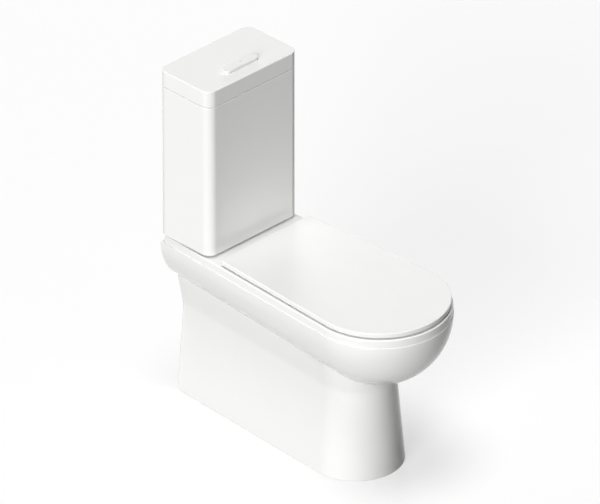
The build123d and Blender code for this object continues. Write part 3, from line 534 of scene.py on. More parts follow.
@cache
def finishes():
    """One material for each slot of the record."""
    shades = bpy.context.scene.toilet_colours
    made = {"vitreous_china": glazed_china(shades.china)}
    for slot, (name, *values) in PLASTICS.items():
        made[slot] = moulded_plastic(slot + "_finish", getattr(shades, name), *values)
    made["black_rubber"] = washer_rubber(shades.rubber)
    made["clear_rubber"] = buffer_rubber(shades.soft)
    for slot, (name, *values) in METALS.items():
        made[slot] = turned_metal(slot + "_finish", getattr(shades, name), *values)
    return made


def slot_of(node):
    """The record's material slot of a node."""
    for part in frame["record"]["subparts"]:
        if part["node"] == node:
            return part["material_slot"]
    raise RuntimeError(f"the record has no part named {node}")


def finish_of(node):
    """The material of a node's slot."""
    return finishes()[slot_of(node)]


def tree_with(name, inputs):
    """An empty Geometry Nodes tree with named inputs, and its links from them."""
    tree = bpy.data.node_groups.new(name, "GeometryNodeTree")
    tree.interface.new_socket("Geometry", in_out="OUTPUT", socket_type="NodeSocketGeometry")
    for label, kind in inputs.items():
        tree.interface.new_socket(label, in_out="INPUT", socket_type="NodeSocket" + kind)
    nodes = Nodes(tree)
    start = tree.nodes.new("NodeGroupInput")
    links = {label: Varying(nodes, start.outputs[label]) for label in inputs}
    return nodes, links


def close_tree(nodes, geometry, material):
    """Ends a tree with real geometry that carries its material."""
    smooth = nodes.add("GeometryNodeSetShadeSmooth", None, {"Geometry": geometry})
    real = nodes.add("GeometryNodeRealizeInstances", None, {"Geometry": smooth})
    dressed = nodes.add("GeometryNodeSetMaterial", None, {"Geometry": real, "Material": material})
    nodes.add("NodeGroupOutput", None, {"Geometry": dressed})
    return nodes.tree


def object_shape(nodes, piece):
    """The geometry of another object."""
    return nodes.add("GeometryNodeObjectInfo", None, {"Object": piece}, output="Geometry")


def four_corners(nodes, corners):
    """A closed outline through four points, each an (x, y) pair."""
    points = {
        f"Point {number}": nodes.add("ShaderNodeCombineXYZ", None, {0: x, 1: y})
        for number, (x, y) in enumerate(corners, start=1)
    }
    return nodes.add("GeometryNodeCurvePrimitiveQuadrilateral", {"mode": "POINTS"}, points)


def plan_tree():
    """A section swept round a plan: two straight ends, two slanting sides, round corners.

    The section runs from the inside of the underside round the outside to the inside of the top.
    """
    nodes, link = tree_with("Section round a plan", {
        "Section": "Object",
        "Rear Half Width": "Float",
        "Front Half Width": "Float",
        "Rear": "Float",
        "Front": "Float",
        "Rear Corner": "Float",
        "Front Corner": "Float",
        "Rear Steps": "Int",
        "Front Steps": "Int",
        "Material": "Material",
    })
    rear_half, front_half = link["Rear Half Width"], link["Front Half Width"]
    plan = four_corners(nodes, (
        (-rear_half, link["Rear"]),
        (rear_half, link["Rear"]),
        (front_half, link["Front"]),
        (-front_half, link["Front"]),
    ))
    index = nodes.add("GeometryNodeInputIndex")
    at_front = index.math("GREATER_THAN", index, FIRST_FRONT_CORNER - 0.5)
    radius = link["Rear Corner"] + (link["Front Corner"] - link["Rear Corner"]) * at_front
    count = link["Rear Steps"] + (link["Front Steps"] - link["Rear Steps"]) * at_front
    rounded = nodes.add("GeometryNodeFilletCurve", {"mode": "POLY"}, {
        "Curve": plan, "Count": count, "Radius": radius, "Limit Radius": True,
    })
    upright = nodes.add("GeometryNodeSetCurveNormal", {"mode": "Z_UP"}, {"Curve": rounded})
    section = object_shape(nodes, link["Section"])
    profile = nodes.add("GeometryNodeMeshToCurve", None, {"Mesh": section})
    skin = nodes.add("GeometryNodeCurveToMesh", None, {"Curve": upright, "Profile Curve": profile})
    return close_tree(nodes, skin, link["Material"])


def thread_tree():
    """A screw thread: one ridge wound up a spiral."""
    nodes, link = tree_with("Thread on a shank", {
        "Radius": "Float",
        "Depth": "Float",
        "Pitch": "Float",
        "Length": "Float",
        "Steps": "Int",
        "Place": "Vector",
        "Material": "Material",
    })
    spiral = nodes.add("GeometryNodeCurveSpiral", None, {
        "Resolution": link["Steps"],
        "Rotations": link["Length"] / link["Pitch"],
        "Start Radius": link["Radius"],
        "End Radius": link["Radius"],
        "Height": link["Length"],
    })
    upright = nodes.add("GeometryNodeSetCurveNormal", {"mode": "Z_UP"}, {"Curve": spiral})
    ridge = four_corners(nodes, (
        (link["Depth"], link["Pitch"] * -THREAD_FOOT),
        (0.0, link["Pitch"] * -THREAD_CREST),
        (0.0, link["Pitch"] * THREAD_CREST),
        (link["Depth"], link["Pitch"] * THREAD_FOOT),
    ))
    wound_ridge = nodes.add("GeometryNodeCurveToMesh", None, {
        "Curve": upright, "Profile Curve": ridge, "Fill Caps": True,
    })
    placed = nodes.add("GeometryNodeTransform", None, {
        "Geometry": wound_ridge, "Translation": link["Place"],
    })
    return close_tree(nodes, placed, link["Material"])


def copies_tree():
    """Copies of one piece at marked places."""
    nodes, link = tree_with("Copies at places", {
        "Piece": "Object",
        "Places": "Object",
        "Material": "Material",
    })
    marks = object_shape(nodes, link["Places"])
    piece = object_shape(nodes, link["Piece"])
    spread = nodes.add("GeometryNodeInstanceOnPoints", None, {"Points": marks, "Instance": piece})
    return close_tree(nodes, spread, link["Material"])


@cache
def shared_tree(maker):
    """The tree of a maker, built once."""
    return maker()


def new_object(name, mesh):
    """An object in the scene that holds this mesh."""
    piece = bpy.data.objects.new(name, mesh)
    bpy.context.scene.collection.objects.link(piece)
    return piece


@contextmanager
def opened(mesh):
    """A mesh as a shape that can be worked on, and is written back at the end."""
    shape = bmesh.new()
    shape.from_mesh(mesh)
    yield shape
    shape.to_mesh(mesh)
    shape.free()


def merge(shape):
    """Joins the corners that lie in one place."""
    bmesh.ops.remove_doubles(shape, verts=shape.verts, dist=MERGE_DISTANCE)


def face_out(shape):
    """Turns every face of a closed shape outwards."""
    bmesh.ops.recalc_face_normals(shape, faces=shape.faces)
    if shape.calc_volume(signed=True) < 0:
        bmesh.ops.reverse_faces(shape, faces=shape.faces)


def baked(piece):
    """The piece as a plain mesh, with its modifiers worked in."""
    graph = bpy.context.evaluated_depsgraph_get()
    mesh = bpy.data.meshes.new_from_object(piece.evaluated_get(graph))
    piece.modifiers.clear()
    piece.data = mesh
    return piece


def grown(name, maker, node, **values):
    """A piece made by a Geometry Nodes tree from named values, with the finish of a node."""
    values["material"] = finish_of(node)
    piece = new_object(name, bpy.data.meshes.new(name))
    modifier = piece.modifiers.new("shape", "NODES")
    modifier.node_group = shared_tree(maker)
    for socket in modifier.node_group.interface.items_tree:
        if socket.in_out == "INPUT":
            modifier[socket.identifier] = values[socket.name.replace(" ", "_").lower()]
    return baked(piece)


def strip(name, points, node, plan):
    """A section, given as (inset, height) points, swept round a plan."""
    mesh = bpy.data.meshes.new("section")
    edges = [(first, first + 1) for first in range(len(points) - 1)]
    mesh.from_pydata([(inset, -height, 0.0) for inset, height in points], edges, [])
    section = new_object("section", mesh)
    piece = grown(name, plan_tree, node, section=section, **plan)
    bpy.data.objects.remove(section)
    return piece


def swept(name, points, node, plan):
    """A closed piece: a section swept round a plan, with its flat faces filled."""
    piece = strip(name, points, node, plan)
    with opened(piece.data) as shape:
        merge(shape)
        bmesh.ops.holes_fill(shape, edges=shape.edges, sides=0)
        face_out(shape)
    return piece


def even_plan(half_width, rear, front, corner):
    """A rectangular plan with four like corners."""
    return {
        "rear_half_width": half_width,
        "front_half_width": half_width,
        "rear": rear,
        "front": front,
        "rear_corner": corner,
        "front_corner": corner,
        "rear_steps": CORNER_STEPS,
        "front_steps": CORNER_STEPS,
    }


def tapered_plan(front, rear, front_round, rear_round, taper):
    """A plan whose sides taper by an angle towards the rear and touch a circle in front."""
    middle = front + front_round
    return {
        "rear_half_width": (front_round - (rear - middle) * math.sin(taper)) / math.cos(taper),
        "front_half_width": front_round * (1 + math.sin(taper)) / math.cos(taper),
        "rear": rear,
        "front": front,
        "rear_corner": rear_round,
        "front_corner": front_round,
        "rear_steps": CORNER_STEPS,
        "front_steps": ROUND_FRONT_STEPS,
    }


def combined(piece, operation, blocks):
    """A piece with closed blocks worked into it."""
    for block in blocks:
        modifier = piece.modifiers.new("block", "BOOLEAN")
        modifier.operation = operation
        modifier.object = block
        modifier.solver = "EXACT"
    baked(piece)
    for block in blocks:
        bpy.data.objects.remove(block)
    return piece


def cut(piece, *blocks):
    """Takes blocks out of a piece."""
    return combined(piece, "DIFFERENCE", blocks)


def join(piece, *blocks):
    """Fuses blocks into a piece."""
    return combined(piece, "UNION", blocks)


def keep(piece, block):
    """Keeps what a piece shares with a block."""
    return combined(piece, "INTERSECT", [block])


def arc(centre, radius, start, end, steps=ARC_STEPS):
    """Points on a round edge, with angles in degrees."""
    angles = [math.radians(start + (end - start) * step / steps) for step in range(steps + 1)]
    return [
        (centre[0] + radius * math.cos(turn), centre[1] + radius * math.sin(turn))
        for turn in angles
    ]


def circle(centre, radius, steps):
    """Points all round a circle."""
    return arc(centre, radius, 0, 360 - 360 / steps, steps - 1)


def prism(name, outline, low, high):
    """A closed block over an outline in plan."""
    mesh = bpy.data.meshes.new(name)
    with opened(mesh) as shape:
        base = [shape.verts.new((x, y, low)) for x, y in outline]
        lid = [shape.verts.new((x, y, high)) for x, y in outline]
        shape.faces.new(reversed(base))
        shape.faces.new(lid)
        for first in range(len(outline)):
            second = (first + 1) % len(outline)
            shape.faces.new((base[first], base[second], lid[second], lid[first]))
        face_out(shape)
    return new_object(name, mesh)


def side_prism(name, outline, low, high):
    """A closed block over an outline seen from the side, as (y, z) points."""
    block = prism(name, outline, low, high)
    for vertex in block.data.vertices:
        y, z, x = vertex.co
        vertex.co = (x, y, z)
    return block


def drill(centre, radius, low, high, steps=DRILL_STEPS):
    """An upright round cutter."""
    return prism("drill", circle(centre, radius, steps), low, high)


def pin_holes(axis, pin_radius, spans):
    """Cutters for the hinge pins, through these stretches across the seat."""
    outline = circle(axis, pin_radius + PIN_GAP, CROSS_DRILL_STEPS)
    return [
        side_prism("pin_hole", outline, start - OVERLAP, end + OVERLAP) for start, end in spans
    ]


def mirrored(low, high):
    """The same stretch on the right and on the left."""
    return ((low, high), (-high, -low))


def points_of(node):
    """The corners of a node's mesh."""
    return [vertex.co for vertex in frame["nodes"][node].data.vertices]


def middle_of(node):
    """The centre of a node's box."""
    low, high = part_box(node)
    return (low + high) / 2


def half_of(node):
    """Half the size of a node's box."""
    low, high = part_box(node)
    return (high - low) / 2


def bolt_place(node, side):
    """Plan place of the left or right one of a pair."""
    points = [point for point in points_of(node) if point.x * side > 0]
    return tuple(
        (max(p[axis] for p in points) + min(p[axis] for p in points)) / 2 for axis in (0, 1)
    )


def thread_radius(node):
    """Radius of a node's lowest stretch, read from its lowest points."""
    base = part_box(node)[0].z
    spots = [point.x for point in points_of(node) if point.z < base + MERGE_DISTANCE]
    return (max(spots) - min(spots)) / 2


def hinge_line():
    """The hinge pins' axis seen from the side, and their radius."""
    middle = middle_of("hinge_pins")
    return (middle.y, middle.z), half_of("hinge_pins").z


def span_of(node):
    """How far out from the middle the two like pieces of a node start and end."""
    spots = [abs(point.x) for point in points_of(node)]
    return min(spots), max(spots)


def shade_by_angle(piece):
    """Smooth faces with crisp edges, and normals that keep large faces flat."""
    piece.data.shade_smooth()
    piece.data.set_sharp_from_angle(angle=SHARP_ANGLE)
    weighted = piece.modifiers.new("flat faces", "WEIGHTED_NORMAL")
    weighted.keep_sharp = True
    baked(piece)


def finish_piece(piece, body, node):
    """Gives a finished piece its finish and its body, and has it stand for its node."""
    piece.data.materials.clear()
    piece.data.materials.append(finish_of(node))
    shade_by_angle(piece)
    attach(piece, body)
    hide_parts(node)
    slot_of(node)


class TOILET_OT_pan(bpy.types.Operator):
    """Pan: the china body with its facets smoothed into one glazed skin"""

    bl_idname = "toilet.pan"
    bl_label = "Pan"

    def execute(self, context):
        mesh = bpy.data.meshes.new("pan_china")
        with opened(mesh) as shape:
            shape.from_mesh(frame["nodes"]["pan"].data)
            merge(shape)
            bmesh.ops.dissolve_degenerate(shape, edges=shape.edges, dist=MERGE_DISTANCE)
            face_out(shape)
        # The loose triangles' own normals and edges give way to those of the whole skin
        for layer in ("custom_normal", "sharp_edge", "sharp_face"):
            if layer in mesh.attributes:
                mesh.attributes.remove(mesh.attributes[layer])
        finish_piece(new_object("pan_china", mesh), "toilet", "pan")
        return {"FINISHED"}


class TOILET_OT_cistern(bpy.types.Operator):
    """Cistern tank: a round-edged shell with its holes in the floor"""

    bl_idname = "toilet.cistern"
    bl_label = "Cistern"

    def execute(self, context):
        sizes = context.scene.toilet_cistern
        node = "cistern_tank"
        low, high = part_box(node)
        inside = low.z + sizes.floor
        edge, seam, inner = sizes.foot_edge, sizes.seam_edge, sizes.inner_edge
        points = [
            (sizes.flat_ring, low.z),
            *arc((edge, low.z + edge), edge, 270, 180),
            *arc((seam, high.z - seam), seam, 180, 90),
            *arc((sizes.wall - seam, high.z - seam), seam, 90, 0),
            *arc((sizes.wall + inner, inside + inner), inner, 180, 270),
            (sizes.flat_ring, inside),
        ]
        plan = even_plan(high.x, high.y, low.y, sizes.corner)
        tank = swept("cistern_shell", points, node, plan)
        holes = [
            (middle_of(shank).xy, thread_radius(shank) + SHANK_GAP)
            for shank in ("flush_valve_base", "fill_valve_column")
        ]
        holes += [(bolt_place("coupling_bolts", side), BOLT_HOLE) for side in (-1, 1)]
        cut(tank, *(drill(*hole, low.z - edge, inside + edge) for hole in holes))
        finish_piece(tank, "toilet", node)
        return {"FINISHED"}


class TOILET_OT_cistern_lid(bpy.types.Operator):
    """Cistern lid: a slab with a lip below and the slot for the flush buttons"""

    bl_idname = "toilet.cistern_lid"
    bl_label = "Cistern lid"

    def execute(self, context):
        sizes = context.scene.toilet_cistern
        node = "cistern_lid"
        low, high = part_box(node)
        seam_z = low.z + sizes.lid_lip
        ceiling = high.z - sizes.lid_roof
        seam, top, inner = sizes.seam_edge, sizes.top_edge, sizes.lid_edge
        groove = seam_z + sizes.shadow_gap
        points = [
            (sizes.flat_ring, ceiling),
            (sizes.lid_skirt, ceiling),
            *arc((sizes.lid_skirt - inner, low.z + inner), inner, 360, 270),
            *arc((sizes.lid_step + inner, low.z + inner), inner, 270, 180),
            (sizes.lid_step, seam_z),
            (sizes.shadow_depth, seam_z),
            (sizes.shadow_depth, groove),
            *arc((seam, groove + seam), seam, 270, 180),
            *arc((top, high.z - top), top, 180, 90),
            (sizes.flat_ring, high.z),
        ]
        plan = even_plan(high.x, high.y, low.y, sizes.corner)
        lid = swept("cistern_lid_shell", points, node, plan)
        buttons = context.scene.toilet_buttons
        grow = buttons.gap + buttons.wall + buttons.slot_gap
        cut(lid, prism("slot", button_outline(buttons, grow), ceiling - top, high.z + top))
        finish_piece(lid, "toilet", node)
        return {"FINISHED"}


def button_line():
    """Where the middle line of both buttons lies, from front to rear."""
    low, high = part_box("full_flush_button")
    return (low.y + high.y) / 2


def button_outline(sizes, grow):
    """The plan of both buttons together, straight with round ends, grown all round."""
    middle = button_line()
    round_x = (sizes.plan_length - sizes.width) / 2
    radius = sizes.width / 2 + grow
    return [
        *arc((round_x, middle), radius, 90, -90, BUTTON_END_STEPS),
        *arc((-round_x, middle), radius, 270, 90, BUTTON_END_STEPS),
    ]


def parting_block(sizes, grow, low, high):
    """A disc that ends at the arc between the buttons, grown all round."""
    reach = sizes.parting_radius
    middle = (
        sizes.parting_place - reach * math.cos(sizes.parting_lean),
        button_line() + reach * math.sin(sizes.parting_lean),
    )
    return drill(middle, reach + grow, low, high, PARTING_STEPS)


def round_top(piece, height, radius):
    """Rounds the edges around the top face."""
    with opened(piece.data) as shape:
        edges = [
            edge for edge in shape.edges
            if all(abs(vertex.co.z - height) < MERGE_DISTANCE for vertex in edge.verts)
            and edge.calc_face_angle(0.0) > SHARP_ANGLE
        ]
        bmesh.ops.bevel(
            shape, geom=edges, offset=radius, segments=BUTTON_EDGE_STEPS, profile=0.5,
            affect="EDGES", clamp_overlap=True,
        )
        face_out(shape)


class TOILET_OT_buttons(bpy.types.Operator):
    """Flush buttons: both hollow caps, their top edges rounded"""

    bl_idname = "toilet.buttons"
    bl_label = "Flush buttons"

    def execute(self, context):
        sizes = context.scene.toilet_buttons
        self.make_cap(sizes, "full_flush_button", "full_button", keep, -1)
        self.make_cap(sizes, "half_flush_button", "half_button", cut, 1)
        return {"FINISHED"}

    def make_cap(self, sizes, node, body, part, way):
        """The share of the plan on one side of the arc, hollow from below."""
        low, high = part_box(node)
        reach = (low.z - OVERLAP, high.z + OVERLAP)
        cap = prism(node + "_cap", button_outline(sizes, 0.0), low.z, high.z)
        part(cap, parting_block(sizes, way * sizes.gap / 2, *reach))
        round_top(cap, high.z, sizes.edge)
        hollow = prism("hollow", button_outline(sizes, -sizes.skin), reach[0], high.z - sizes.skin)
        part(hollow, parting_block(sizes, way * (sizes.gap / 2 + sizes.skin), *reach))
        finish_piece(cut(cap, hollow), body, node)


class TOILET_OT_button_housing(bpy.types.Operator):
    """Button housing: a thin tray in the lid's slot, with snap hooks and holes for the rods"""

    bl_idname = "toilet.button_housing"
    bl_label = "Button housing"

    def execute(self, context):
        sizes = context.scene.toilet_buttons
        node = "button_housing"
        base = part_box(node)[0].z
        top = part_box("cistern_lid")[1].z
        ceiling = top - context.scene.toilet_cistern.lid_roof
        rim = top + sizes.flange_rise
        outside = sizes.gap + sizes.wall
        housing = prism("button_tray", button_outline(sizes, outside), base, top + OVERLAP)
        flange = prism("flange", button_outline(sizes, outside + sizes.flange), top, rim)
        hooks = [
            self.make_hook(sizes, side, back, ceiling - sizes.slot_gap)
            for side in (-1, 1) for back in (-1, 1)
        ]
        join(housing, flange, *hooks)
        floor = base + sizes.floor
        inside = prism("inside", button_outline(sizes, sizes.gap), floor, rim + OVERLAP)
        reach = (base - OVERLAP, floor + OVERLAP)
        cut(housing, inside, *(
            drill(middle_of(rod).xy, half_of(rod).x + sizes.rod_gap, *reach)
            for rod in ("full_push_rod", "half_push_rod")
        ))
        finish_piece(housing, "toilet", node)
        return {"FINISHED"}

    def make_hook(self, sizes, side, back, top):
        """One snap hook on the outside of the wall, just under the lid."""
        face = sizes.width / 2 + sizes.gap
        near = button_line() + back * (face + sizes.wall / 2)
        far = button_line() + back * (face + sizes.wall + sizes.hook_reach)
        x, half = side * sizes.hook_place, sizes.hook_length / 2
        outline = [(x - half, near), (x + half, near), (x + half, far), (x - half, far)]
        return prism("hook", outline, top - sizes.hook_depth, top)


def whole_faces(piece):
    """Joins faces that lie in one plane."""
    with opened(piece.data) as shape:
        bmesh.ops.dissolve_limit(
            shape, angle_limit=FLAT_ANGLE, verts=shape.verts, edges=shape.edges
        )


class TOILET_OT_seat_lid(bpy.types.Operator):
    """Seat lid: a slim panel with a skirt and its two hinge barrels"""

    bl_idname = "toilet.seat_lid"
    bl_label = "Seat lid"

    def execute(self, context):
        sizes = context.scene.toilet_seat
        node = "seat_lid"
        low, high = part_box(node)
        base, top = high.z - sizes.lid_depth, high.z
        under = top - sizes.panel
        inner, foot, edge = sizes.panel_inner, sizes.lid_foot, sizes.lid_edge
        points = [
            (sizes.flat_ring, under),
            *arc((sizes.skirt + inner, under - inner), inner, 90, 180),
            *arc((sizes.skirt - foot, base + foot), foot, 360, 270),
            *arc((foot, base + foot), foot, 270, 180),
            *arc((edge, top - edge), edge, 180, 90),
            (sizes.flat_ring, top),
        ]
        plan = tapered_plan(low.y, high.y, high.x, sizes.lid_corner, sizes.taper)
        lid = swept("seat_lid_shell", points, node, plan)
        axis, pin_radius = hinge_line()
        pin_in, pin_out = span_of("hinge_pins")
        radius, gap = sizes.barrel_radius, sizes.notch_gap
        notch = [
            (axis[0] - 2 * radius, base - edge),
            (high.y + edge, base - edge),
            (high.y + edge, under),
            (axis[0] - 2 * radius, under),
        ]
        cut(lid, *(
            side_prism("notch", notch, *span) for span in mirrored(pin_in - gap, pin_out + gap)
        ))
        barrel = [
            (axis[0] + radius, under + OVERLAP),
            *arc(axis, radius, 360, 180, LID_BARREL_STEPS),
            (axis[0] - radius, under + OVERLAP),
        ]
        spans = mirrored(pin_in, pin_in + sizes.barrel)
        join(lid, *(side_prism("barrel", barrel, *span) for span in spans))
        cut(lid, *pin_holes(axis, pin_radius, spans))
        whole_faces(lid)
        finish_piece(lid, "lid", node)
        return {"FINISHED"}


class TOILET_OT_seat_ring(bpy.types.Operator):
    """Seat ring: round-edged, with notches for the hinge posts and four barrels"""

    bl_idname = "toilet.seat_ring"
    bl_label = "Seat ring"

    def execute(self, context):
        sizes = context.scene.toilet_seat
        axis, pin_radius = hinge_line()
        post_in, post_out = span_of("hinge_posts")
        radius, gap = sizes.barrel_radius, sizes.barrel_gap
        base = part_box("seat_buffers")[1].z
        top = base + sizes.ring_thickness
        rear = max(p.y for p in points_of("seat_ring") if abs(p.x) > post_out + CLEAR_OF_HINGES)
        ring = self.make_ring(sizes, base, top, rear)
        root = axis[0] - sizes.root
        notch = [
            (root - radius, base - radius),
            (rear + radius, base - radius),
            (rear + radius, top + radius),
            (root - radius, top + radius),
        ]
        cut(ring, *(
            side_prism("notch", notch, *span) for span in mirrored(post_in - gap, post_out + gap)
        ))
        root_top = top - sizes.ring_edge
        lean = math.degrees(math.asin((root_top - axis[1]) / radius))
        barrel = [
            (root, root_top),
            (root, axis[1] - radius),
            *arc(axis, radius, -90, 180 - lean, RING_BARREL_STEPS),
        ]
        spans = [
            *mirrored(post_out + gap, post_out + gap + sizes.barrel),
            *mirrored(post_in - gap - sizes.barrel, post_in - gap),
        ]
        join(ring, *(side_prism("barrel", barrel, *span) for span in spans))
        cut(ring, *pin_holes(axis, pin_radius, spans))
        finish_piece(ring, "seat", "seat_ring")
        return {"FINISHED"}

    def make_ring(self, sizes, base, top, rear):
        """Both edges swept round their own plans, with flat faces between."""
        low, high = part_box("seat_ring")
        foot, edge, flat = sizes.ring_foot, sizes.ring_edge, sizes.ring_flat
        profile = [
            (flat, base),
            *arc((foot, base + foot), foot, 270, 180),
            *arc((edge, top - edge), edge, 180, 90),
            (flat, top),
        ]
        outside = tapered_plan(low.y, rear, high.x, sizes.ring_corner, sizes.taper)
        hole_low = low.y + sizes.hole_front
        hole_high = hole_low + sizes.hole_length
        rounds = sizes.hole_front_round, sizes.hole_rear_round
        lean = math.asin((rounds[0] - rounds[1]) / (sizes.hole_length - sum(rounds)))
        inside = tapered_plan(hole_low, hole_high, *rounds, lean)
        inside["rear_steps"] = ROUND_FRONT_STEPS
        mesh = bpy.data.meshes.new("seat_ring_shell")
        with opened(mesh) as shape:
            for plan, side in ((outside, 1), (inside, -1)):
                points = [(side * inset, height) for inset, height in profile]
                part = strip("edge", points, "seat_ring", plan)
                shape.from_mesh(part.data)
                bpy.data.objects.remove(part)
            merge(shape)
            for height in (base, top):
                rim = [
                    e for e in shape.edges
                    if e.is_boundary and all(abs(v.co.z - height) < OVERLAP for v in e.verts)
                ]
                bmesh.ops.triangle_fill(shape, edges=rim, use_beauty=True)
            face_out(shape)
        return new_object("seat_ring_shell", mesh)


def turned_rings(node, place, side=0):
    """The (height, radius) corners of an upright turned node's outside, from the bottom up.

    A side, -1 or 1, picks the left or the right one of a pair.
    """
    rings = {}
    for point in points_of(node):
        if point.x * side >= 0:
            reach = round(math.hypot(point.x - place.x, point.y - place.y), DIGITS)
            rings.setdefault(round(point.z, DIGITS), set()).add(reach)
    outline = []
    for height in sorted(rings):
        reaches = sorted(reach for reach in rings[height] if reach > COLUMN_BORE + OVERLAP or side)
        if outline and len(reaches) > 1 and abs(reaches[0] - outline[-1][1]) > OVERLAP:
            reaches.reverse()
        outline += [(height, reach) for reach in reaches]
    return outline


def thread_core(rings, radius, depth):
    """The outline turned down where it carries a thread, and the heights where threads end."""
    core = []
    heights = set()
    for height, reach in rings:
        if abs(reach - radius) < OVERLAP:
            core.append((height, reach - depth))
            heights.add(height)
        else:
            core.append((height, reach))
    return core, sorted(heights)


def turned(name, place, rings, bore, node):
    """A turned piece: its outline swept round a circle and moved to its place."""
    widest = max(reach for height, reach in rings)
    low, high = rings[0][0], rings[-1][0]
    middle = bore if bore else OVERLAP
    points = [(widest - middle, low)]
    points += [(widest - reach, height) for height, reach in rings]
    points.append((widest - middle, high))
    if bore:
        points.append(points[0])
    piece = swept(name, points, node, even_plan(widest, widest, -widest, widest))
    for vertex in piece.data.vertices:
        vertex.co += Vector((place.x, place.y, 0.0))
    return piece


def wound(place, radius, depth, pitch, low, high, node):
    """A thread's ridge between two heights."""
    ridge = grown(
        "ridge", thread_tree, node, radius=radius, depth=depth, pitch=pitch,
        length=high - low - pitch, steps=THREAD_TURN_STEPS,
        place=Vector((place.x, place.y, low + pitch / 2)),
    )
    with opened(ridge.data) as shape:
        merge(shape)
        face_out(shape)
    return ridge


def gathered(name, parts):
    """Several meshes in one object."""
    mesh = bpy.data.meshes.new(name)
    with opened(mesh) as shape:
        for part in parts:
            shape.from_mesh(part.data)
            bpy.data.objects.remove(part)
    return new_object(name, mesh)


def copies(name, piece, places, node):
    """The piece at each place, as one object."""
    mesh = bpy.data.meshes.new("places")
    mesh.from_pydata(places, [], [])
    marks = new_object("places", mesh)
    made = grown(name, copies_tree, node, piece=piece, places=marks)
    bpy.data.objects.remove(marks)
    bpy.data.objects.remove(piece)
    return made


class TOILET_OT_threads(bpy.types.Operator):
    """Threads: the inlet shank and the coupling bolts, with wound ridges"""

    bl_idname = "toilet.threads"
    bl_label = "Threads"

    def execute(self, context):
        sizes = context.scene.toilet_threads
        self.make_column(sizes)
        self.make_bolts(sizes)
        return {"FINISHED"}

    def make_column(self, sizes):
        """Fill valve column: two threaded stretches with a groove between, a flange and a tube."""
        node = "fill_valve_column"
        place = middle_of(node)
        radius = thread_radius(node)
        core, heights = thread_core(turned_rings(node, place), radius, sizes.pipe_depth)
        column = turned("column", place, core, COLUMN_BORE, node)
        ridges = [
            wound(place, radius, sizes.pipe_depth, sizes.pipe_pitch, low, high, node)
            for low, high in zip(heights[::2], heights[1::2])
        ]
        finish_piece(gathered("inlet_column", [column, *ridges]), "toilet", node)

    def make_bolts(self, sizes):
        """Coupling bolts: one threaded bolt, copied to both places."""
        node = "coupling_bolts"
        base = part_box(node)[0].z
        places = [Vector((*bolt_place(node, side), 0.0)) for side in (-1, 1)]
        rings = turned_rings(node, places[0], side=-1)
        radius = rings[0][1]
        core, heights = thread_core(rings, radius, sizes.bolt_depth)
        origin = Vector((0.0, 0.0, 0.0))
        bolt = turned("bolt", origin, core, 0.0, node)
        ridge = wound(
            origin, radius, sizes.bolt_depth, sizes.bolt_pitch, base, heights[-1], node
        )
        bolt = gathered("bolt", [bolt, ridge])
        finish_piece(copies("threaded_bolts", bolt, places, node), "toilet", node)


class TOILET_OT_fittings(bpy.types.Operator):
    """Fittings: every other node gets the finish of its slot"""

    bl_idname = "toilet.fittings"
    bl_label = "Fittings"

    def execute(self, context):
        for name, node in frame["nodes"].items():
            if not node.hide_render:
                for place in node.material_slots:
                    place.material = finish_of(name)
        return {"FINISHED"}


def camera_share(nodes):
    """1 for the camera and for reflected or transmitted views, 0 for light."""
    camera, glossy, clear = (
        nodes.add("ShaderNodeLightPath", output=f"Is {kind} Ray")
        for kind in ("Camera", "Glossy", "Transmission")
    )
    return camera.math("MAXIMUM", camera, glossy.math("MAXIMUM", glossy, clear))


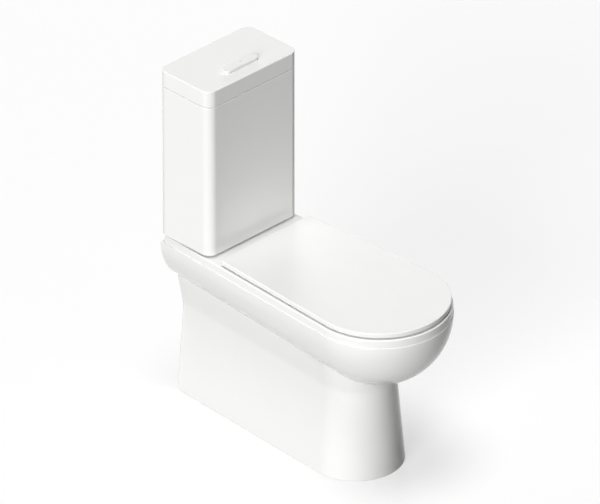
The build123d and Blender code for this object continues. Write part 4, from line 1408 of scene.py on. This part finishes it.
class TOILET_OT_stage(bpy.types.Operator):
    """Stage: floor, room light, three soft lamps and the camera"""

    bl_idname = "toilet.stage"
    bl_label = "Stage"

    def execute(self, context):
        settings = context.scene.toilet_stage
        context.scene.view_settings.view_transform = "Standard"
        self.make_floor(settings)
        self.light_room(context, settings)
        for name, lamp in LAMPS.items():
            self.make_lamp(context, name, getattr(settings, name), *lamp)
        self.make_camera(context, settings)
        return {"FINISHED"}

    def make_floor(self, settings):
        """A wide floor that is white to the camera and keeps a soft shadow."""
        finish = Finish("studio_floor")
        seen = camera_share(finish)
        cloud = finish.noise(scale=3.0, detail=3.0)
        pale = finish.blend(cloud, settings.floor_colour, darker(settings.floor_colour, share=0.99))
        shade = finish.blend(seen, settings.floor_bounce, pale)
        matt = finish.add("ShaderNodeBsdfDiffuse", None, {"Color": shade})
        glow = finish.add("ShaderNodeEmission", None, {"Strength": WHITE_STRENGTH})
        seen = seen * settings.floor_glow
        both = finish.add("ShaderNodeMixShader", None, {0: seen, 1: matt, 2: glow})
        finish.add("ShaderNodeOutputMaterial", None, {"Surface": both})
        mesh = bpy.data.meshes.new("studio_floor")
        corners = [
            (x * FLOOR_HALF, y * FLOOR_HALF, -FLOOR_DROP)
            for x, y in ((-1, -1), (1, -1), (1, 1), (-1, 1))
        ]
        mesh.from_pydata(corners, [], [(0, 1, 2, 3)])
        mesh.materials.append(finish.material)
        new_object("studio_floor", mesh)

    def light_room(self, context, settings):
        """Grey light from all round; the camera and reflections see white."""
        world = bpy.data.worlds.new("studio_room")
        world.use_nodes = True
        room = Nodes(world.node_tree)
        lit, seen = (
            room.add("ShaderNodeBackground", None, {"Color": WHITE, "Strength": level})
            for level in (settings.room, WHITE_STRENGTH)
        )
        both = room.add("ShaderNodeMixShader", None, {0: camera_share(room), 1: lit, 2: seen})
        room.add("ShaderNodeOutputWorld", None, {"Surface": both})
        context.scene.world = world

    def make_lamp(self, context, name, power, direction, softness, in_gloss):
        """A distant soft lamp that shines from a direction."""
        lamp = bpy.data.lights.new(name, "SUN")
        lamp.energy = power
        lamp.angle = math.radians(softness)
        holder = bpy.data.objects.new(name, lamp)
        holder.rotation_euler = Vector(direction).to_track_quat("Z", "Y").to_euler()
        holder.visible_glossy = in_gloss
        context.scene.collection.objects.link(holder)

    def make_camera(self, context, settings):
        """The photograph's view: nearly parallel, from the left and above."""
        lens = bpy.data.cameras.new("camera")
        lens.sensor_width = SENSOR
        lens.lens = SENSOR * settings.distance * PIXELS_PER_METRE / IMAGE_WIDTH
        lens.clip_end = 3 * settings.distance
        camera = bpy.data.objects.new("camera", lens)
        back = Vector((
            math.sin(settings.azimuth) * math.cos(settings.elevation),
            -math.cos(settings.azimuth) * math.cos(settings.elevation),
            math.sin(settings.elevation),
        ))
        camera.location = Vector(settings.aim) + back * settings.distance
        camera.rotation_euler = back.to_track_quat("Z", "Y").to_euler()
        context.scene.collection.objects.link(camera)
        context.scene.camera = camera


class TOILET_PT_panel(bpy.types.Panel):
    """Lists the pieces and their sizes"""

    bl_idname = "TOILET_PT_panel"
    bl_label = "Toilet"
    bl_space_type = "VIEW_3D"
    bl_region_type = "UI"
    bl_category = "Toilet"

    def draw(self, context):
        for operator in OPERATORS:
            self.layout.operator(operator.bl_idname)
        for group in GROUPS:
            box = self.layout.box()
            settings = getattr(context.scene, group)
            for name in settings.__annotations__:
                box.prop(settings, name)


GROUPS = {
    "toilet_cistern": CisternSizes,
    "toilet_buttons": ButtonSizes,
    "toilet_seat": SeatSizes,
    "toilet_threads": ThreadSizes,
    "toilet_colours": FinishColours,
    "toilet_stage": StageSettings,
}
OPERATORS = (
    TOILET_OT_stage,
    TOILET_OT_pan,
    TOILET_OT_cistern,
    TOILET_OT_cistern_lid,
    TOILET_OT_buttons,
    TOILET_OT_button_housing,
    TOILET_OT_seat_lid,
    TOILET_OT_seat_ring,
    TOILET_OT_threads,
    TOILET_OT_fittings,
)


def register():
    for group in GROUPS.values():
        bpy.utils.register_class(group)
    for operator in (*OPERATORS, TOILET_PT_panel):
        bpy.utils.register_class(operator)
    for name, group in GROUPS.items():
        setattr(bpy.types.Scene, name, PointerProperty(type=group))


def unregister():
    for name in GROUPS:
        delattr(bpy.types.Scene, name)
    for operator in (TOILET_PT_panel, *reversed(OPERATORS)):
        bpy.utils.unregister_class(operator)
    for group in GROUPS.values():
        bpy.utils.unregister_class(group)


def main():
    """Makes everything in order."""
    register()
    bpy.ops.toilet.stage()
    bpy.ops.toilet.pan()
    bpy.ops.toilet.cistern()
    bpy.ops.toilet.cistern_lid()
    bpy.ops.toilet.buttons()
    bpy.ops.toilet.button_housing()
    bpy.ops.toilet.seat_lid()
    bpy.ops.toilet.seat_ring()
    bpy.ops.toilet.threads()
    bpy.ops.toilet.fittings()


if __name__ == "__main__":
    main()
